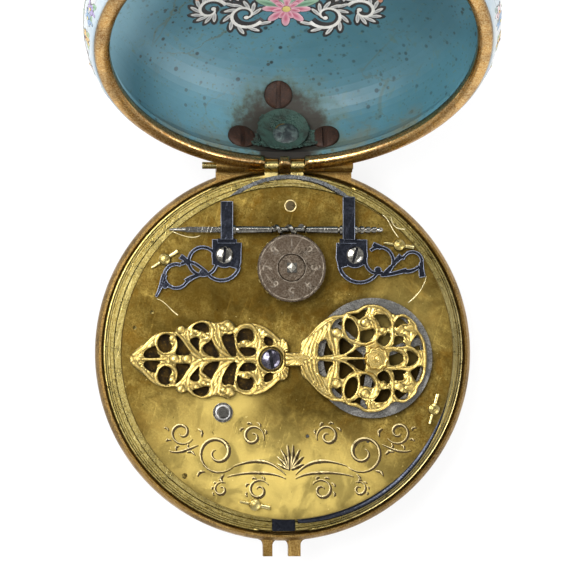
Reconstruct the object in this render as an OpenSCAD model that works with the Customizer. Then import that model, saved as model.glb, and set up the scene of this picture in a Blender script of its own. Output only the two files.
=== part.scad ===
/* [Case] */
// Outside diameter of the bezel ring
case_d = 40; // [38:0.5:42]
// Angle of the case bowl, counted from shut
bowl_open = 124; // [100:1:130]
// Depth of the enamelled bowl outside, from the hinge line
bowl_depth = 12.6; // [12.4:0.1:14]
// Widest diameter of the bowl, at its belly
belly_d = 42.4; // [42:0.1:43]
// Height of the domed crystal
dome_h = 4; // [3:0.1:4]
// Length of the hinge between its outer faces
hinge_w = 14.4; // [13:0.2:16]
// Outside diameter of the hinge knuckles
knuckle_d = 1.4; // [1.2:0.1:1.4]
// Diameter of the hinge pin
pin_d = 0.75; // [0.6:0.05:0.8]

/* [Pendant] */
// Diameter of the pendant's ball
ball_d = 2.7; // [2.4:0.1:2.8]
// Diameter of the bow, measured at the middle of its wire
bow_d = 6.4; // [6:0.1:7]
// Diameter of the bow's wire
bow_wire_d = 0.9; // [0.7:0.05:1]

/* [Plates] */
// Diameter of the pillar plate's brass edge
plate_d = 38; // [36.5:0.5:38]
// Diameter of the top plate, which carries the cock
top_plate_d = 34.7; // [34:0.1:35]
// Clear height between the two plates
plate_gap = 6.4; // [6.4:0.1:6.8]
// Thickness of each plate
plate_t = 0.8; // [0.7:0.1:0.9]

/* [Train] */
// Teeth of the great wheel on the fusee
great_teeth = 60; // [60]
// Teeth of the second wheel
second_teeth = 48; // [48]
// Teeth of the contrate wheel
contrate_teeth = 40; // [40]
// Teeth of the crown wheel, always an odd number
crown_teeth = 15; // [13:2:15]
// Outside diameter of the mainspring barrel
barrel_d = 18.4; // [17.5:0.1:18.4]
// Largest diameter of the fusee
fusee_d = 12; // [11:0.5:12]
// Smallest diameter of the fusee
fusee_top_d = 5.2; // [4.6:0.1:5.2]

/* [Balance] */
// Outside diameter of the plain balance
balance_d = 12.5; // [11.5:0.1:12.6]
// Width of the balance rim
balance_rim_w = 1.15; // [0.9:0.05:1.3]
// Thickness of the pierced cock
cock_t = 0.55; // [0.45:0.05:0.6]

/* [Set-up worm] */
// Diameter of the silvered set-up disc
disc_d = 7.1; // [6.6:0.1:7.1]
// Teeth of the set-up wheel under the disc
setup_teeth = 16; // [16]

/* [Hidden] */
$fn = 96;

// Radial room of a pivot or shaft that turns in its hole
run_gap = 0.03;
// Small gap between pieces that pass but never touch
pass_gap = 0.05;

// Heights, counted up from the crystal's apex, on which the watch lies
case_r = case_d / 2;
plate_r = plate_d / 2;
top_plate_r = top_plate_d / 2;
seat_z = dome_h;
dial_z = 4.85;
dial_t = 0.45;
shelf_z = 5.2;
plate_top_z = 7.2;
plate_low_z = plate_top_z - plate_t;
bezel_back_z = 7.7;
upper_low_z = plate_top_z + plate_gap;
upper_top_z = upper_low_z + plate_t;
bore_r = plate_r + 0.2;

// The hinge line runs along X behind the case
hinge_y = case_r - 0.2;
hinge_z = bezel_back_z + 0.8;
knuckle_r = knuckle_d / 2;
knuckle_room = knuckle_r + 0.1;
outer_knuckle_x = 4.25;
lug_x0 = 0.7;
lug_x1 = 2.05;
bowl_knuckle_x0 = 2.3;
mid_knuckle_x = 0.5;
block_y1 = hinge_y + 0.15;

// Bowl profile, with depths counted from the hinge line
rim_low = -0.6;
rim_high = 0.9;
rim_in_r = 18.65;
lining_low = -0.15;
rim_out_r = case_r + 0.05;
belly_at = 3;
belly_r = belly_d / 2;
belly_in_r = belly_r - 1.4;
inner_depth = bowl_depth - 1.1;
enamel_out_t = 0.35;
enamel_in_t = 0.3;
bowl_steps = 22;

// Places of the arbors, seen from the back of the movement
fusee_at = [-6.75, -6.2];
barrel_at = [0.3, 8.8];
verge_at = [8.8, -0.55];
contrate_at = [8.4, -9.2];
pinion_leaves = 8;
small_leaves = 6;
great_m = 0.2696;
second_m = 0.235;
fusee_second = great_m * (great_teeth + pinion_leaves) / 2;
second_contrate = second_m * (second_teeth + small_leaves) / 2;
fusee_contrate = norm(contrate_at - fusee_at);
along = (fusee_second ^ 2 - second_contrate ^ 2 + fusee_contrate ^ 2) / (2 * fusee_contrate);
aside = sqrt(fusee_second ^ 2 - along ^ 2);
to_contrate = (contrate_at - fusee_at) / fusee_contrate;
second_at = fusee_at + along * to_contrate + aside * [to_contrate[1], -to_contrate[0]];

// Levels of the wheels between the plates
great_z = plate_top_z + 0.25;
great_t = 0.6;
fusee_z0 = 8.25;
fusee_z1 = 12.6;
snail_z = 12.75;
snail_t = 0.4;
second_z = 12.8;
wheel_t = 0.4;
contrate_z = 8.95;
contrate_r = 5.35;
contrate_top_z = 10.25;
crown_z = 10.98;
crown_r = 2.3;
crown_len = 1.7;
crown_tip = 0.78;
barrel_z0 = 8.4;
barrel_z1 = 13.25;
barrel_r = barrel_d / 2;
barrel_wall = 0.45;

// The fusee chain, a flat band here, climbs one pitch a turn
chain_h = 0.4;
chain_t = 0.5;
chain_pitch = 0.82;
chain_z = 10.4;
chain_steps = 24;

// Balance, cock and set-up work above the top plate
balance_z = upper_top_z + 0.35;
balance_t = 0.4;
cock_foot_t = 0.7;
cock_z = upper_top_z + 1.1;
cock_axis_y = -0.68;
cock_screw_at = [-1.75, cock_axis_y];
setup_z = upper_top_z + 1.1;
setup_wheel_t = 0.5;
worm_z = setup_z + setup_wheel_t / 2;
disc_z = worm_z + 0.5;
disc_t = 0.3;
setup_pitch = 1.351;
setup_m = setup_pitch / PI;
setup_pitch_r = setup_m * setup_teeth / 2;
worm_pitch_r = 0.45;
worm_y = barrel_at[1] + setup_pitch_r + worm_pitch_r + 0.06;
bracket_x = [-6.4, 6.25];
bracket_w = 1.2;
bracket_screw_at = [[-6.6, 10.15], [7, 10.15]];
bracket_l = [3.9, 4.4];

pillar_at = [[-12.8, 9.7], [11.6, 11.2], [15.2, -5.85], [-3.42, -15.75]];
pillar_pin_turn = [33, -9, 75, -12];
pillar_pin_r = 0.24;
pillar_end_r = 0.62;
dial_foot_at = [for (a = [190, 285, 10]) 16.7 * [cos(a), sin(a)]];
stop_at = [-15, 3.4];
stop_tip = fusee_at + 3.4 * [-0.62, 0.785];
rosette_hole_at = [0.3, 15.2];
spare_hole_at = [-10.7, -12.8];

// Pendant on the bowl's wall, near the hinge
pendant_depth = 4.2;
pendant_reach = 5.75;
pendant_ball_y = hinge_y + pendant_reach;
shank_r = 0.9;
plate_fix_r = 2.7;
bow_lean = 115.1;
bow_pin_d = 0.7;
// Azimuth, depth and tilt of each of the three screws
fixing_at = [[-13.1, 3.3, -5], [13.1, 3.3, -5], [-1.5, 8.2, 46]];
fixing_head_r = 1.5;

// Points and outlines

function on_circle(c, r, a) = c + r * [cos(a), sin(a)];

function arc_points(c, r, a0, a1, n = 10) =
    [for (i = [0:n]) on_circle(c, r, a0 + (a1 - a0) * i / n)];

function spiral_points(c, r0, r1, a0, a1, n = 14) =
    [for (i = [0:n]) on_circle(c, r0 + (r1 - r0) * i / n, a0 + (a1 - a0) * i / n)];

// A cubic curve from a to b, pulled towards p and q
function curve_points(a, p, q, b, n = 8) =
    [for (i = [0:n]) let (t = i / n, s = 1 - t)
        s ^ 3 * a + 3 * s * s * t * p + 3 * s * t * t * q + t ^ 3 * b];

function flip(list) = [for (i = [len(list) - 1:-1:0]) list[i]];

function side_point(pts, i, w) =
    let (
        d = pts[min(i + 1, len(pts) - 1)] - pts[max(i - 1, 0)],
        n = [-d[1], d[0]] / norm(d)
    ) pts[i] + n * w / 2;

function width_at(w0, w1, i, n) = w0 + (w1 - w0) * i / (n - 1);

// A band of metal along a line of points, w0 wide at its start and w1 at its end
module band(pts, w0, w1) {
    n = len(pts);
    polygon(concat(
        [for (i = [0:n - 1]) side_point(pts, i, width_at(w0, w1, i, n))],
        [for (i = [n - 1:-1:0]) side_point(pts, i, -width_at(w0, w1, i, n))]
    ));
}

module ring_2d(c, r, w) {
    translate(c) difference() {
        circle(r + w / 2, $fn = 32);
        circle(r - w / 2, $fn = 32);
    }
}

// Outline of a toothed wheel. Half widths are shares of one tooth's pitch.
module gear_2d(n, m, top, root, share) {
    r = m * n / 2;
    step = 360 / n;
    polygon([for (i = [0:n - 1]) each [
        on_circle([0, 0], r - root * m, (i - share * 1.25) * step),
        on_circle([0, 0], r, (i - share) * step),
        on_circle([0, 0], r + top * m, (i - share * 0.45) * step),
        on_circle([0, 0], r + top * m, (i + share * 0.45) * step),
        on_circle([0, 0], r, (i + share) * step),
        on_circle([0, 0], r - root * m, (i + share * 1.25) * step)
    ]]);
}

module wheel_2d(n, m) {
    gear_2d(n, m, 0.85, 1.15, 0.2);
}

module pinion_2d(n, m) {
    gear_2d(n, m, 0.6, 1.05, 0.16);
}

// Openings between the spokes of a wheel
module spoke_gaps(r_in, r_out, spokes, w) {
    difference() {
        circle(r_out);
        circle(r_in);
        for (i = [0:spokes - 1])
            rotate(i * 360 / spokes) translate([0, -w / 2]) square([r_out + 1, w]);
    }
}

function bearing_to(a, b) = atan2(b[1] - a[1], b[0] - a[0]);

module tube(r_out, r_in, h) {
    difference() {
        cylinder(r = r_out, h = h);
        translate([0, 0, -1]) cylinder(r = r_in, h = h + 2);
    }
}

// A plain rod along X between two places on the hinge line
module hinge_rod(r, x0, x1) {
    translate([x0, hinge_y, hinge_z]) rotate([0, 90, 0]) cylinder(r = r, h = x1 - x0);
}

// A flat block along the hinge, whose inner edge follows a ring of radius r
module hinge_block(r, z, h) {
    a = acos(hinge_w / 2 / r);
    translate([0, 0, z]) linear_extrude(h) polygon(concat(
        arc_points([0, 0], r, a, 180 - a, 12),
        [[-hinge_w / 2, block_y1], [hinge_w / 2, block_y1]]
    ));
}

// Bezel, crystal and hinge pin

bezel_profile = [
    [18.1, dome_h - 0.7], [19.1, dome_h - 0.6], [19.65, dome_h], [19.92, 4.7],
    [case_r, 5.4], [case_r, 6.6], [case_r - 0.12, 7.2], [case_r - 0.4, bezel_back_z],
    [bore_r + 0.15, bezel_back_z], [bore_r, bezel_back_z - 0.15], [bore_r, shelf_z],
    [18.1, shelf_z], [18.1, seat_z + 0.65], [18.65, seat_z + 0.65], [18.65, seat_z - 0.3],
    [18.1, seat_z - 0.3]
];

module bezel_prong(x, w) {
    translate([x - w / 2, -case_r - 1.65, 5.3]) cube([w, 2.2, 1.5]);
}

module bezel_ring() color("peru") difference() {
    union() {
        rotate_extrude() polygon(bezel_profile);
        hinge_block(bore_r + 0.3, 6, bezel_back_z - 6.02);
        for (s = [-1, 1]) {
            x0 = s > 0 ? outer_knuckle_x : -hinge_w / 2;
            hinge_rod(knuckle_r, x0, x0 + hinge_w / 2 - outer_knuckle_x);
            translate([x0, hinge_y - 0.55, bezel_back_z - 0.1])
                cube([hinge_w / 2 - outer_knuckle_x, 0.7, 0.6]);
        }
        bezel_prong(-1.65, 1);
        bezel_prong(1.2, 1.3);
    }
    hinge_rod(pin_d / 2, -hinge_w, hinge_w);
    hinge_rod(knuckle_room, -outer_knuckle_x, outer_knuckle_x);
    translate([-1.5, -bore_r - 0.3, 6.9]) cube([3, 1, 0.6]);
}

// Crystal: a dome whose apex is ground to a small flat circle
crystal_r = 18.6;
crystal_flat_r = 4;
crystal_curve_r = 42;
crystal_t = 0.55;

function dome_rise(x) = crystal_curve_r - sqrt(crystal_curve_r ^ 2 - x ^ 2);

function dome_z(x) = dome_h * (dome_rise(x) - dome_rise(crystal_flat_r))
    / (dome_rise(crystal_r) - dome_rise(crystal_flat_r));

function dome_points(lift, n = 12) = concat([[0, lift]], [for (i = [0:n])
    let (x = crystal_flat_r + (crystal_r - crystal_flat_r) * i / n) [x, dome_z(x) + lift]]);

module crystal() color("lightcyan", 0.4) rotate_extrude()
    polygon(concat(dome_points(0), flip(dome_points(crystal_t))));

module hinge_pin() color("goldenrod") hinge_rod(pin_d / 2, -8.7, hinge_w / 2 + 0.1);

// Pillar plate with its brass edge and the two hinge lugs

edge_profile = [
    [17.5, plate_low_z], [18.15, shelf_z + pass_gap], [plate_r - 0.1, shelf_z + pass_gap],
    [plate_r, shelf_z + 0.15], [plate_r, 7.4], [plate_r - 0.1, 7.5], [plate_r - 0.3, 7.5],
    [plate_r - 0.38, 7.3], [plate_r - 0.55, 7.3], [plate_r - 0.62, 7.45], [plate_r - 0.95, 7.45],
    [plate_r - 1.05, plate_top_z], [17.5, plate_top_z]
];

module pivot_hole(at, r, z) {
    translate([at[0], at[1], z - 1]) cylinder(r = r, h = plate_t + 2);
}

module pillar_plate() color("darkgoldenrod") difference() {
    union() {
        translate([0, 0, plate_low_z]) cylinder(r = 17.6, h = plate_t);
        rotate_extrude() polygon(edge_profile);
        for (x = [-lug_x1, lug_x0]) {
            hinge_rod(knuckle_r, x, x + lug_x1 - lug_x0);
            translate([x, 18.1, bezel_back_z + 0.08]) cube([lug_x1 - lug_x0, hinge_y - 18.1, 0.5]);
            translate([x, 18.1, 7.35]) cube([lug_x1 - lug_x0, 0.8, 0.5]);
        }
        translate([0, 0, dial_z - 0.75]) cylinder(r = 0.5, h = plate_low_z - dial_z + 0.8);
    }
    hinge_rod(pin_d / 2 + pass_gap, -hinge_w, hinge_w);
    pivot_hole(fusee_at, 0.6 + run_gap, plate_low_z);
    pivot_hole(barrel_at, 0.5 + run_gap, plate_low_z);
    for (p = [second_at, contrate_at]) pivot_hole(p, 0.16 + run_gap, plate_low_z);
    for (p = dial_foot_at) pivot_hole(p, 0.45, plate_low_z);
    for (p = pillar_at) pivot_hole(p, 0.6, plate_low_z);
    translate([-1.25, -plate_r - 0.5, 6.95]) cube([2.5, 2.65, 1]);
}

// Dial side

module dial() color("ivory") difference() {
    union() {
        rotate_extrude() polygon([
            [1.15, dial_z + 0.1], [1.15, dial_z], [14, dial_z], [17.4, dial_z + 0.06],
            [17.9, dial_z + 0.2], [17.9, dial_z + dial_t], [1.15, dial_z + dial_t]
        ]);
        for (p = dial_foot_at)
            translate([p[0], p[1], dial_z + 0.2]) cylinder(r = 0.42, h = 7.95 - dial_z - 0.2);
    }
    for (p = dial_foot_at)
        translate([p[0], p[1], 7.55]) rotate([90, 0, bearing_to([0, 0], p)])
            cylinder(r = 0.15, h = 3, center = true);
}

module dial_pins() color("goldenrod") for (p = dial_foot_at)
    translate([p[0], p[1], 7.55]) rotate([90, 0, bearing_to([0, 0], p)])
        cylinder(r = 0.14, h = 1.8, center = true);

hour_teeth = 36;
motion_leaves = 12;
motion_m = 2 * norm(fusee_at) / (hour_teeth + motion_leaves);
motion_z = 5.45;
motion_t = 0.35;

module hour_wheel() color("darkgoldenrod") difference() {
    union() {
        translate([0, 0, motion_z]) linear_extrude(motion_t) difference() {
            rotate(bearing_to([0, 0], fusee_at)) wheel_2d(hour_teeth, motion_m);
            spoke_gaps(1.7, 5.4, 4, 0.8);
        }
        translate([0, 0, dial_z - 0.65]) cylinder(r = 0.9, h = motion_z + motion_t - dial_z + 0.65);
    }
    cylinder(r = 0.5 + run_gap, h = 12);
}

hand_z = dial_z - 0.55;

module hour_hand() color("midnightblue") translate([0, 0, hand_z - 0.15]) linear_extrude(0.28)
    difference() {
        offset(delta = 0.01) {
            circle(1.7);
            mirrored_x(0) {
                band(spiral_points([0.75, 4.2], 1.1, 0.35, 190, -150), 0.35, 0.3);
                band(curve_points([0.1, 5.4], [1.3, 6.4], [1, 7.4], [0, 8.8]), 0.45, 0.3);
            }
            band([[0, 1], [0, 3.4], [0, 8], [0, 11.8]], 0.8, 0.16);
            band([[0, 0], [0, -2], [0, -4.4]], 0.9, 0.25);
        }
        circle(0.9);
    }

module mirrored_x(x) {
    children();
    translate([2 * x, 0]) mirror([1, 0]) children();
}

// Pillars, turned as balusters, and the taper pins over the top plate

module pillars() color("goldenrod") for (i = [0:3]) {
    p = pillar_at[i];
    translate([p[0], p[1], 0]) difference() {
        rotate_extrude($fn = 48) polygon([
            [0, plate_low_z + 0.1], [0.6, plate_low_z + 0.1], [0.6, plate_top_z],
            [1.15, plate_top_z], [1.15, 7.6], [0.8, 7.75], [0.62, 8.1], [0.85, 8.9],
            [0.98, 9.7], [0.8, 10.3], [0.95, 10.45], [0.8, 10.6], [0.62, 11.4],
            [0.6, 12.3], [0.85, 12.8], [1.15, 12.95], [1.15, upper_low_z],
            [pillar_end_r, upper_low_z], [pillar_end_r, upper_top_z + 0.55],
            [pillar_end_r * 0.85, upper_top_z + 0.75], [pillar_end_r * 0.5, upper_top_z + 0.87],
            [0, upper_top_z + 0.92]
        ]);
        translate([0, 0, upper_top_z + 0.3]) rotate([0, 90, pillar_pin_turn[i]])
            cylinder(r = pillar_pin_r + 0.01, h = 4, center = true);
    }
}

module pillar_pins() color("palegoldenrod") for (i = [0:3])
    translate([pillar_at[i][0], pillar_at[i][1], upper_top_z + 0.3])
        rotate([0, 90, pillar_pin_turn[i]])
            cylinder(r1 = 0.14, r2 = pillar_pin_r, h = 3.2, center = true);

module top_plate() color("darkgoldenrod") difference() {
    translate([0, 0, upper_low_z]) rotate_extrude() polygon([
        [0, 0], [top_plate_r - 0.08, 0], [top_plate_r, 0.08], [top_plate_r, plate_t - 0.12],
        [top_plate_r - 0.12, plate_t], [0, plate_t]
    ]);
    for (p = pillar_at) pivot_hole(p, pillar_end_r, upper_low_z);
    pivot_hole(fusee_at, 0.5 + run_gap, upper_low_z);
    pivot_hole(barrel_at, 0.75 + run_gap, upper_low_z);
    for (p = [second_at, contrate_at]) pivot_hole(p, 0.16 + run_gap, upper_low_z);
    pivot_hole(verge_at, 0.95, upper_low_z);
    pivot_hole(rosette_hole_at, 0.45, upper_low_z);
    pivot_hole(spare_hole_at, 0.3, upper_low_z);
    for (s = [-1.2, 1.2]) pivot_hole(on_circle(stop_at, s, stop_turn + 90), 0.2, upper_low_z);
    pivot_hole(cock_screw_at, 0.45, upper_low_z);
    for (p = bracket_screw_at) pivot_hole(p, 0.45, upper_low_z);
}

// Potence and counter-potence hang from the top plate and hold the crown wheel

crown_turn = bearing_to(verge_at, contrate_at);

// Places its children with +X from the verge towards the contrate wheel
module along_crown() {
    translate([verge_at[0], verge_at[1], 0]) rotate(crown_turn) children();
}

module potence() color("goldenrod") along_crown() difference() {
    union() {
        translate([-2.1, -0.9, 7.7]) cube([1.15, 1.8, upper_low_z - 7.7]);
        translate([-1.2, -0.6, 7.7]) cube([1.65, 1.2, 0.75]);
        translate([-1.2, 0.5, crown_z - 0.4]) cube([2.75, 0.55, 0.8]);
        translate([1.05, -0.4, crown_z - 0.4]) cube([0.5, 1.2, 0.8]);
    }
    translate([0, 0, 7.8]) cylinder(r = 0.12 + run_gap, h = 1);
    translate([1, 0, crown_z]) rotate([0, 90, 0]) cylinder(r = 0.12 + run_gap, h = 1);
}

module counter_potence() color("goldenrod") along_crown() difference() {
    union() {
        translate([4.9, -0.6, crown_z - 0.65]) cube([0.7, 1.2, upper_low_z - crown_z + 0.65]);
        translate([4.9, -0.6, upper_low_z - 0.5]) cube([1.5, 1.2, 0.5]);
    }
    translate([4, 0, crown_z]) rotate([0, 90, 0]) cylinder(r = 0.12 + run_gap, h = 3);
}

// Balance cock: a solid outline and its piercings, drawn on one side of the middle line.
// Points are counted from the middle line, and a curve runs through them.

foot_outline = [
    [-16.4, 0], [-16.1, 0.7], [-15.05, 1.55], [-14, 2.45], [-12.9, 2.85], [-11.8, 2.85],
    [-11.5, 3.35], [-10.95, 3.5], [-10.5, 3.25], [-10.15, 3.55], [-9.35, 3.95], [-8.45, 4.05],
    [-7.7, 3.8], [-6.85, 3.9], [-6.25, 4.1], [-5.65, 3.75], [-5.4, 3.3], [-4.85, 3.6],
    [-3.85, 3.75], [-2.6, 3.45], [-1.65, 2.85], [-1, 2.25], [-0.45, 2.15], [0, 1.6], [0.1, 0]
];
foot_piercings = [
    [[-14.85, 0.85], [-13.8, 1.4], [-13.6, 0.7], [-13.3, 0.25], [-14.8, 0.2]],
    [[-13.5, 1.65], [-13.3, 2.35], [-12.75, 2.6], [-12.25, 2.5], [-12.4, 2.1], [-12.2, 1.6],
        [-12.05, 1.25], [-12.35, 0.8], [-12.9, 0.7], [-13.35, 1.05]],
    [[-11.6, 2.45], [-11.1, 2.1], [-10.55, 1.25], [-10.15, 0.6], [-10.95, 0.45], [-11.65, 0.55],
        [-11.45, 1.4]],
    [[-9.9, 3.25], [-9.45, 3.7], [-8.75, 3.8], [-8.3, 3.4], [-8.2, 2.85], [-8.75, 2.85],
        [-9.45, 3.05]],
    [[-10.15, 2.05], [-9.55, 2.3], [-9.2, 2.05], [-9.3, 1.5], [-9.2, 0.8], [-9.7, 1.25],
        [-10.05, 1.65]],
    [[-8.85, 1.25], [-8.45, 1.65], [-7.95, 2], [-7.65, 1.35], [-7.1, 0.3], [-8.05, 0.35],
        [-8.65, 0.75]],
    [[-6.85, 2.05], [-6.65, 2.6], [-6.1, 2.55], [-5.65, 2.65], [-5.55, 1.9], [-5.35, 0.4],
        [-5.95, 0.4], [-6.5, 1.2]],
    [[-5.3, 2.2], [-5.1, 2.9], [-4.45, 3.2], [-3.75, 3], [-3.55, 2.3], [-3.85, 1.85],
        [-4.15, 2.05], [-4.85, 1.95], [-5.2, 1.65]],
    [[-5.05, 1.15], [-4.55, 1.25], [-4, 1.2], [-3.45, 1.1], [-3.35, 0.65], [-3.85, 0.35],
        [-4.55, 0.4], [-4.9, 0.75]],
    [[-2.4, 2.35], [-1.65, 2.1], [-1.6, 1.5], [-2.05, 1.4], [-2.45, 1.7]]
];

table_at = [9.1, cock_axis_y + 0.1];
table_outline = [
    [1.2, 0], [1.25, 0.95], [1.4, 1.8], [2.1, 2.35], [2.9, 3.25], [3.6, 3.85], [4.55, 4.4],
    [5.45, 4.5], [6.35, 4.9], [7.2, 5.1], [7.8, 5.5], [8.5, 5.6], [9.45, 5.5], [10.3, 5.05],
    [10.8, 4.6], [11.3, 4.5], [11.9, 4.6], [12.55, 4.25], [13.25, 3.6], [13.5, 2.85],
    [13.95, 2.25], [14.3, 1.25], [14.4, 0]
];
table_piercings = [
    [[3.15, 1.35], [3.45, 1.8], [3.9, 1.9], [4.2, 1.1], [4.6, 0.45], [3.85, 0.3], [3.1, 0.3]],
    [[4.55, 3.45], [4.9, 3.95], [5.5, 4.1], [5.5, 3.35], [5.45, 2.95], [5, 3.2], [4.5, 3.05]],
    [[5.3, 1.9], [5.7, 2.1], [6.35, 1.55], [6.75, 1.25], [6.1, 0.65], [5.4, 0.4], [5.3, 0.95]],
    [[5.85, 3.7], [6.2, 4.15], [6.7, 3.9], [7.1, 3.3], [7.15, 2.45], [6.85, 1.95], [6.25, 2.15],
        [5.9, 2.85]],
    [[6.4, 4.55], [7.2, 4.65], [7.85, 5.15], [8.2, 5.2], [8, 4.7], [7.8, 4.3], [7.3, 4.05],
        [6.85, 4.35]],
    [[7.5, 2.8], [8.05, 2.9], [8.75, 3.05], [8.95, 2.7], [8.65, 2.1], [8.15, 1.7], [7.55, 1.75],
        [7.45, 2.2]],
    [[8.9, 4.45], [9.7, 4.55], [10.3, 4.3], [10.6, 3.6], [10.45, 3.2], [9.95, 3.25], [9.6, 3.3],
        [9.3, 3.85]],
    [[9.6, 2.4], [9.95, 2.3], [10.3, 2.65], [10.55, 2.35], [10.4, 1.7], [9.95, 1.3], [9.35, 1.6],
        [9.25, 1.95]],
    [[6, 0.25], [6.65, 0.65], [7.2, 1.1], [7.9, 1.25], [8, 0.55], [7.9, 0.15], [6.85, 0.15]],
    [[11.15, 3.9], [11.5, 4.2], [12.05, 4.25], [12.4, 3.9], [12.4, 3.55], [11.85, 3.6],
        [11.3, 3.25], [11.05, 3.4]],
    [[10.95, 1.55], [11.05, 2.2], [11.45, 2.3], [11.95, 2.2], [11.9, 1.7], [12.2, 1.35],
        [11.6, 1.2], [10.75, 1.25]],
    [[13.05, 2.1], [13.4, 2.45], [13.75, 1.8], [13.95, 0.95], [13.5, 0.85], [12.9, 1.2],
        [12.7, 1.45]]
];
// Piercings that lie across the middle line
table_mid_piercings = [
    [[10.55, 0.65], [11.35, 0.65], [11.85, 0.3], [11.85, -0.3], [11.35, -0.65], [10.55, -0.65]],
    [[12.3, 0.8], [13, 0.6], [13.45, 0], [13, -0.6], [12.3, -0.8], [12.55, 0]]
];

// A closed curve that runs through its points
function loop_points(p, n = 3) = let (k = len(p)) [for (i = [0:k - 1], j = [0:n - 1])
    let (a = p[(i + k - 1) % k], b = p[i], c = p[(i + 1) % k], d = p[(i + 2) % k], t = j / n)
    0.5 * (2 * b + (c - a) * t + (2 * a - 5 * b + 4 * c - d) * t ^ 2
        + (3 * (b - c) + d - a) * t ^ 3)];

function mirror_half(p) = concat(p, [for (i = [len(p) - 2:-1:1]) [p[i][0], -p[i][1]]]);

module pierced_2d(outline, piercings) difference() {
    polygon(loop_points(mirror_half(outline)));
    for (s = [0, 1], p = piercings) mirror([0, s]) polygon(loop_points(p));
}

module cock_foot_2d() {
    translate([0, cock_axis_y]) pierced_2d(foot_outline, foot_piercings);
}

rosette_r = 0.85;
rosette_petals = 9;

module cock_table_2d() translate([0, table_at[1]]) {
    difference() {
        pierced_2d(table_outline, table_piercings);
        for (p = table_mid_piercings) polygon(loop_points(p));
    }
    for (i = [0:rosette_petals - 1])
        translate(on_circle([table_at[0], 0], rosette_r, i * 360 / rosette_petals))
            circle(0.42, $fn = 14);
    translate([table_at[0], 0]) circle(rosette_r + 0.1, $fn = 24);
}

cock_neck_x = [-0.35, 1.85];

module balance_cock() color("gold") difference() {
    union() {
        translate([0, 0, upper_top_z]) linear_extrude(cock_foot_t) offset(delta = 0.01)
            cock_foot_2d();
        translate([0, 0, cock_z]) linear_extrude(cock_t) offset(delta = 0.01) cock_table_2d();
        translate([cock_neck_x[0], cock_axis_y - 0.7, upper_top_z])
            cube([1.3, 1.4, cock_z + cock_t - upper_top_z]);
        translate([cock_neck_x[0], cock_axis_y - 0.7, cock_z])
            cube([cock_neck_x[1] - cock_neck_x[0], 1.4, cock_t]);
    }
    translate([cock_screw_at[0], cock_screw_at[1], upper_top_z - 1]) cylinder(r = 0.45, h = 4);
    translate([verge_at[0], verge_at[1], cock_z - 1]) cylinder(r = 0.12 + run_gap, h = 1.4);
}

// A domed screw head with its shank; the slot is cut across the dome
module slotted_screw(head_r, head_h, shank_r, shank_l, slot_turn) {
    difference() {
        rotate_extrude($fn = 48) polygon(concat(
            [[0, -shank_l], [shank_r, -shank_l], [shank_r, 0], [head_r, 0], [head_r, head_h * 0.35]],
            [for (i = [1:5]) [head_r * cos(i * 18), head_h * (0.35 + 0.65 * sin(i * 18))]]
        ));
        rotate(slot_turn) translate([-head_r - 1, -head_r * 0.16, head_h * 0.45])
            cube([2 * head_r + 2, head_r * 0.32, head_h]);
    }
}

module cock_screw() color("slateblue")
    translate([cock_screw_at[0], cock_screw_at[1], upper_top_z + cock_foot_t])
        slotted_screw(1.08, 0.65, 0.45, cock_foot_t + plate_t, 100);

// Blued brackets that carry the worm

module bracket_scroll_left_2d() {
    polygon([[-6.2, 11.4], [-4.85, 11.4], [-4.9, 9.4], [-5.1, 8.7], [-6.2, 9]]);
    band(arc_points([-6.9, 9.4], 1.9, -15, -150), 0.3, 0.26);
    ring_2d([-8.85, 9.5], 1.45, 0.28);
    band(curve_points([-8.5, 8.4], [-9.3, 9], [-10, 9.8], [-11.1, 9.2]), 0.26, 0.3);
    band(spiral_points([-11.6, 7.95], 1.25, 1.25, 70, 330), 0.3, 0.26);
    band(curve_points([-10.6, 7.4], [-10, 7.9], [-9.4, 8], [-8.6, 8.35]), 0.5, 0.26);
    band(curve_points([-12.8, 8.1], [-13.1, 7.4], [-13.2, 6.6], [-13.7, 5.85]), 0.5, 0.16);
    band([[-10.3, 9.2], [-10.7, 9.7], [-11.15, 10]], 0.4, 0.5);
    translate([-8.9, 8.3]) circle(0.3, $fn = 12);
    translate([-12.75, 7]) circle(0.32, $fn = 12);
}

module bracket_scroll_right_2d() {
    polygon([[6.2, 11.4], [5.1, 11.4], [5.05, 9.8], [5.3, 8.8], [6.2, 9]]);
    band(arc_points([7.5, 9.5], 2.2, -165, -35), 0.32, 0.26);
    band(spiral_points([9.55, 9.55], 1.45, 1.45, -70, 130), 0.26, 0.28);
    band(spiral_points([9.5, 9.5], 1.4, 1.2, 185, 290), 0.28, 0.26);
    translate([9.4, 8.6]) circle(0.34, $fn = 12);
    band([[8.9, 11.3], [9.2, 11.15], [9.7, 10.95]], 0.45, 0.4);
    band(curve_points([9.9, 8.1], [10.9, 9.2], [11.5, 9.6], [12, 10]), 0.26, 0.24);
    band([[11, 9.1], [11.4, 9.7], [11.8, 10.1]], 0.3, 0.5);
    band(spiral_points([13, 9.5], 1, 1, 165, -50), 0.22, 0.3);
    band(curve_points([9.7, 8.05], [10.7, 8.1], [11.6, 8.4], [12.4, 8.6]), 0.28, 0.42);
    band(curve_points([13.95, 9.4], [13.9, 8.8], [13.95, 8.4], [14.05, 7.9]), 0.4, 0.6);
    band(curve_points([12.1, 8.5], [12.8, 8.4], [13.3, 8.6], [13.7, 9]), 0.4, 0.24);
}

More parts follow.
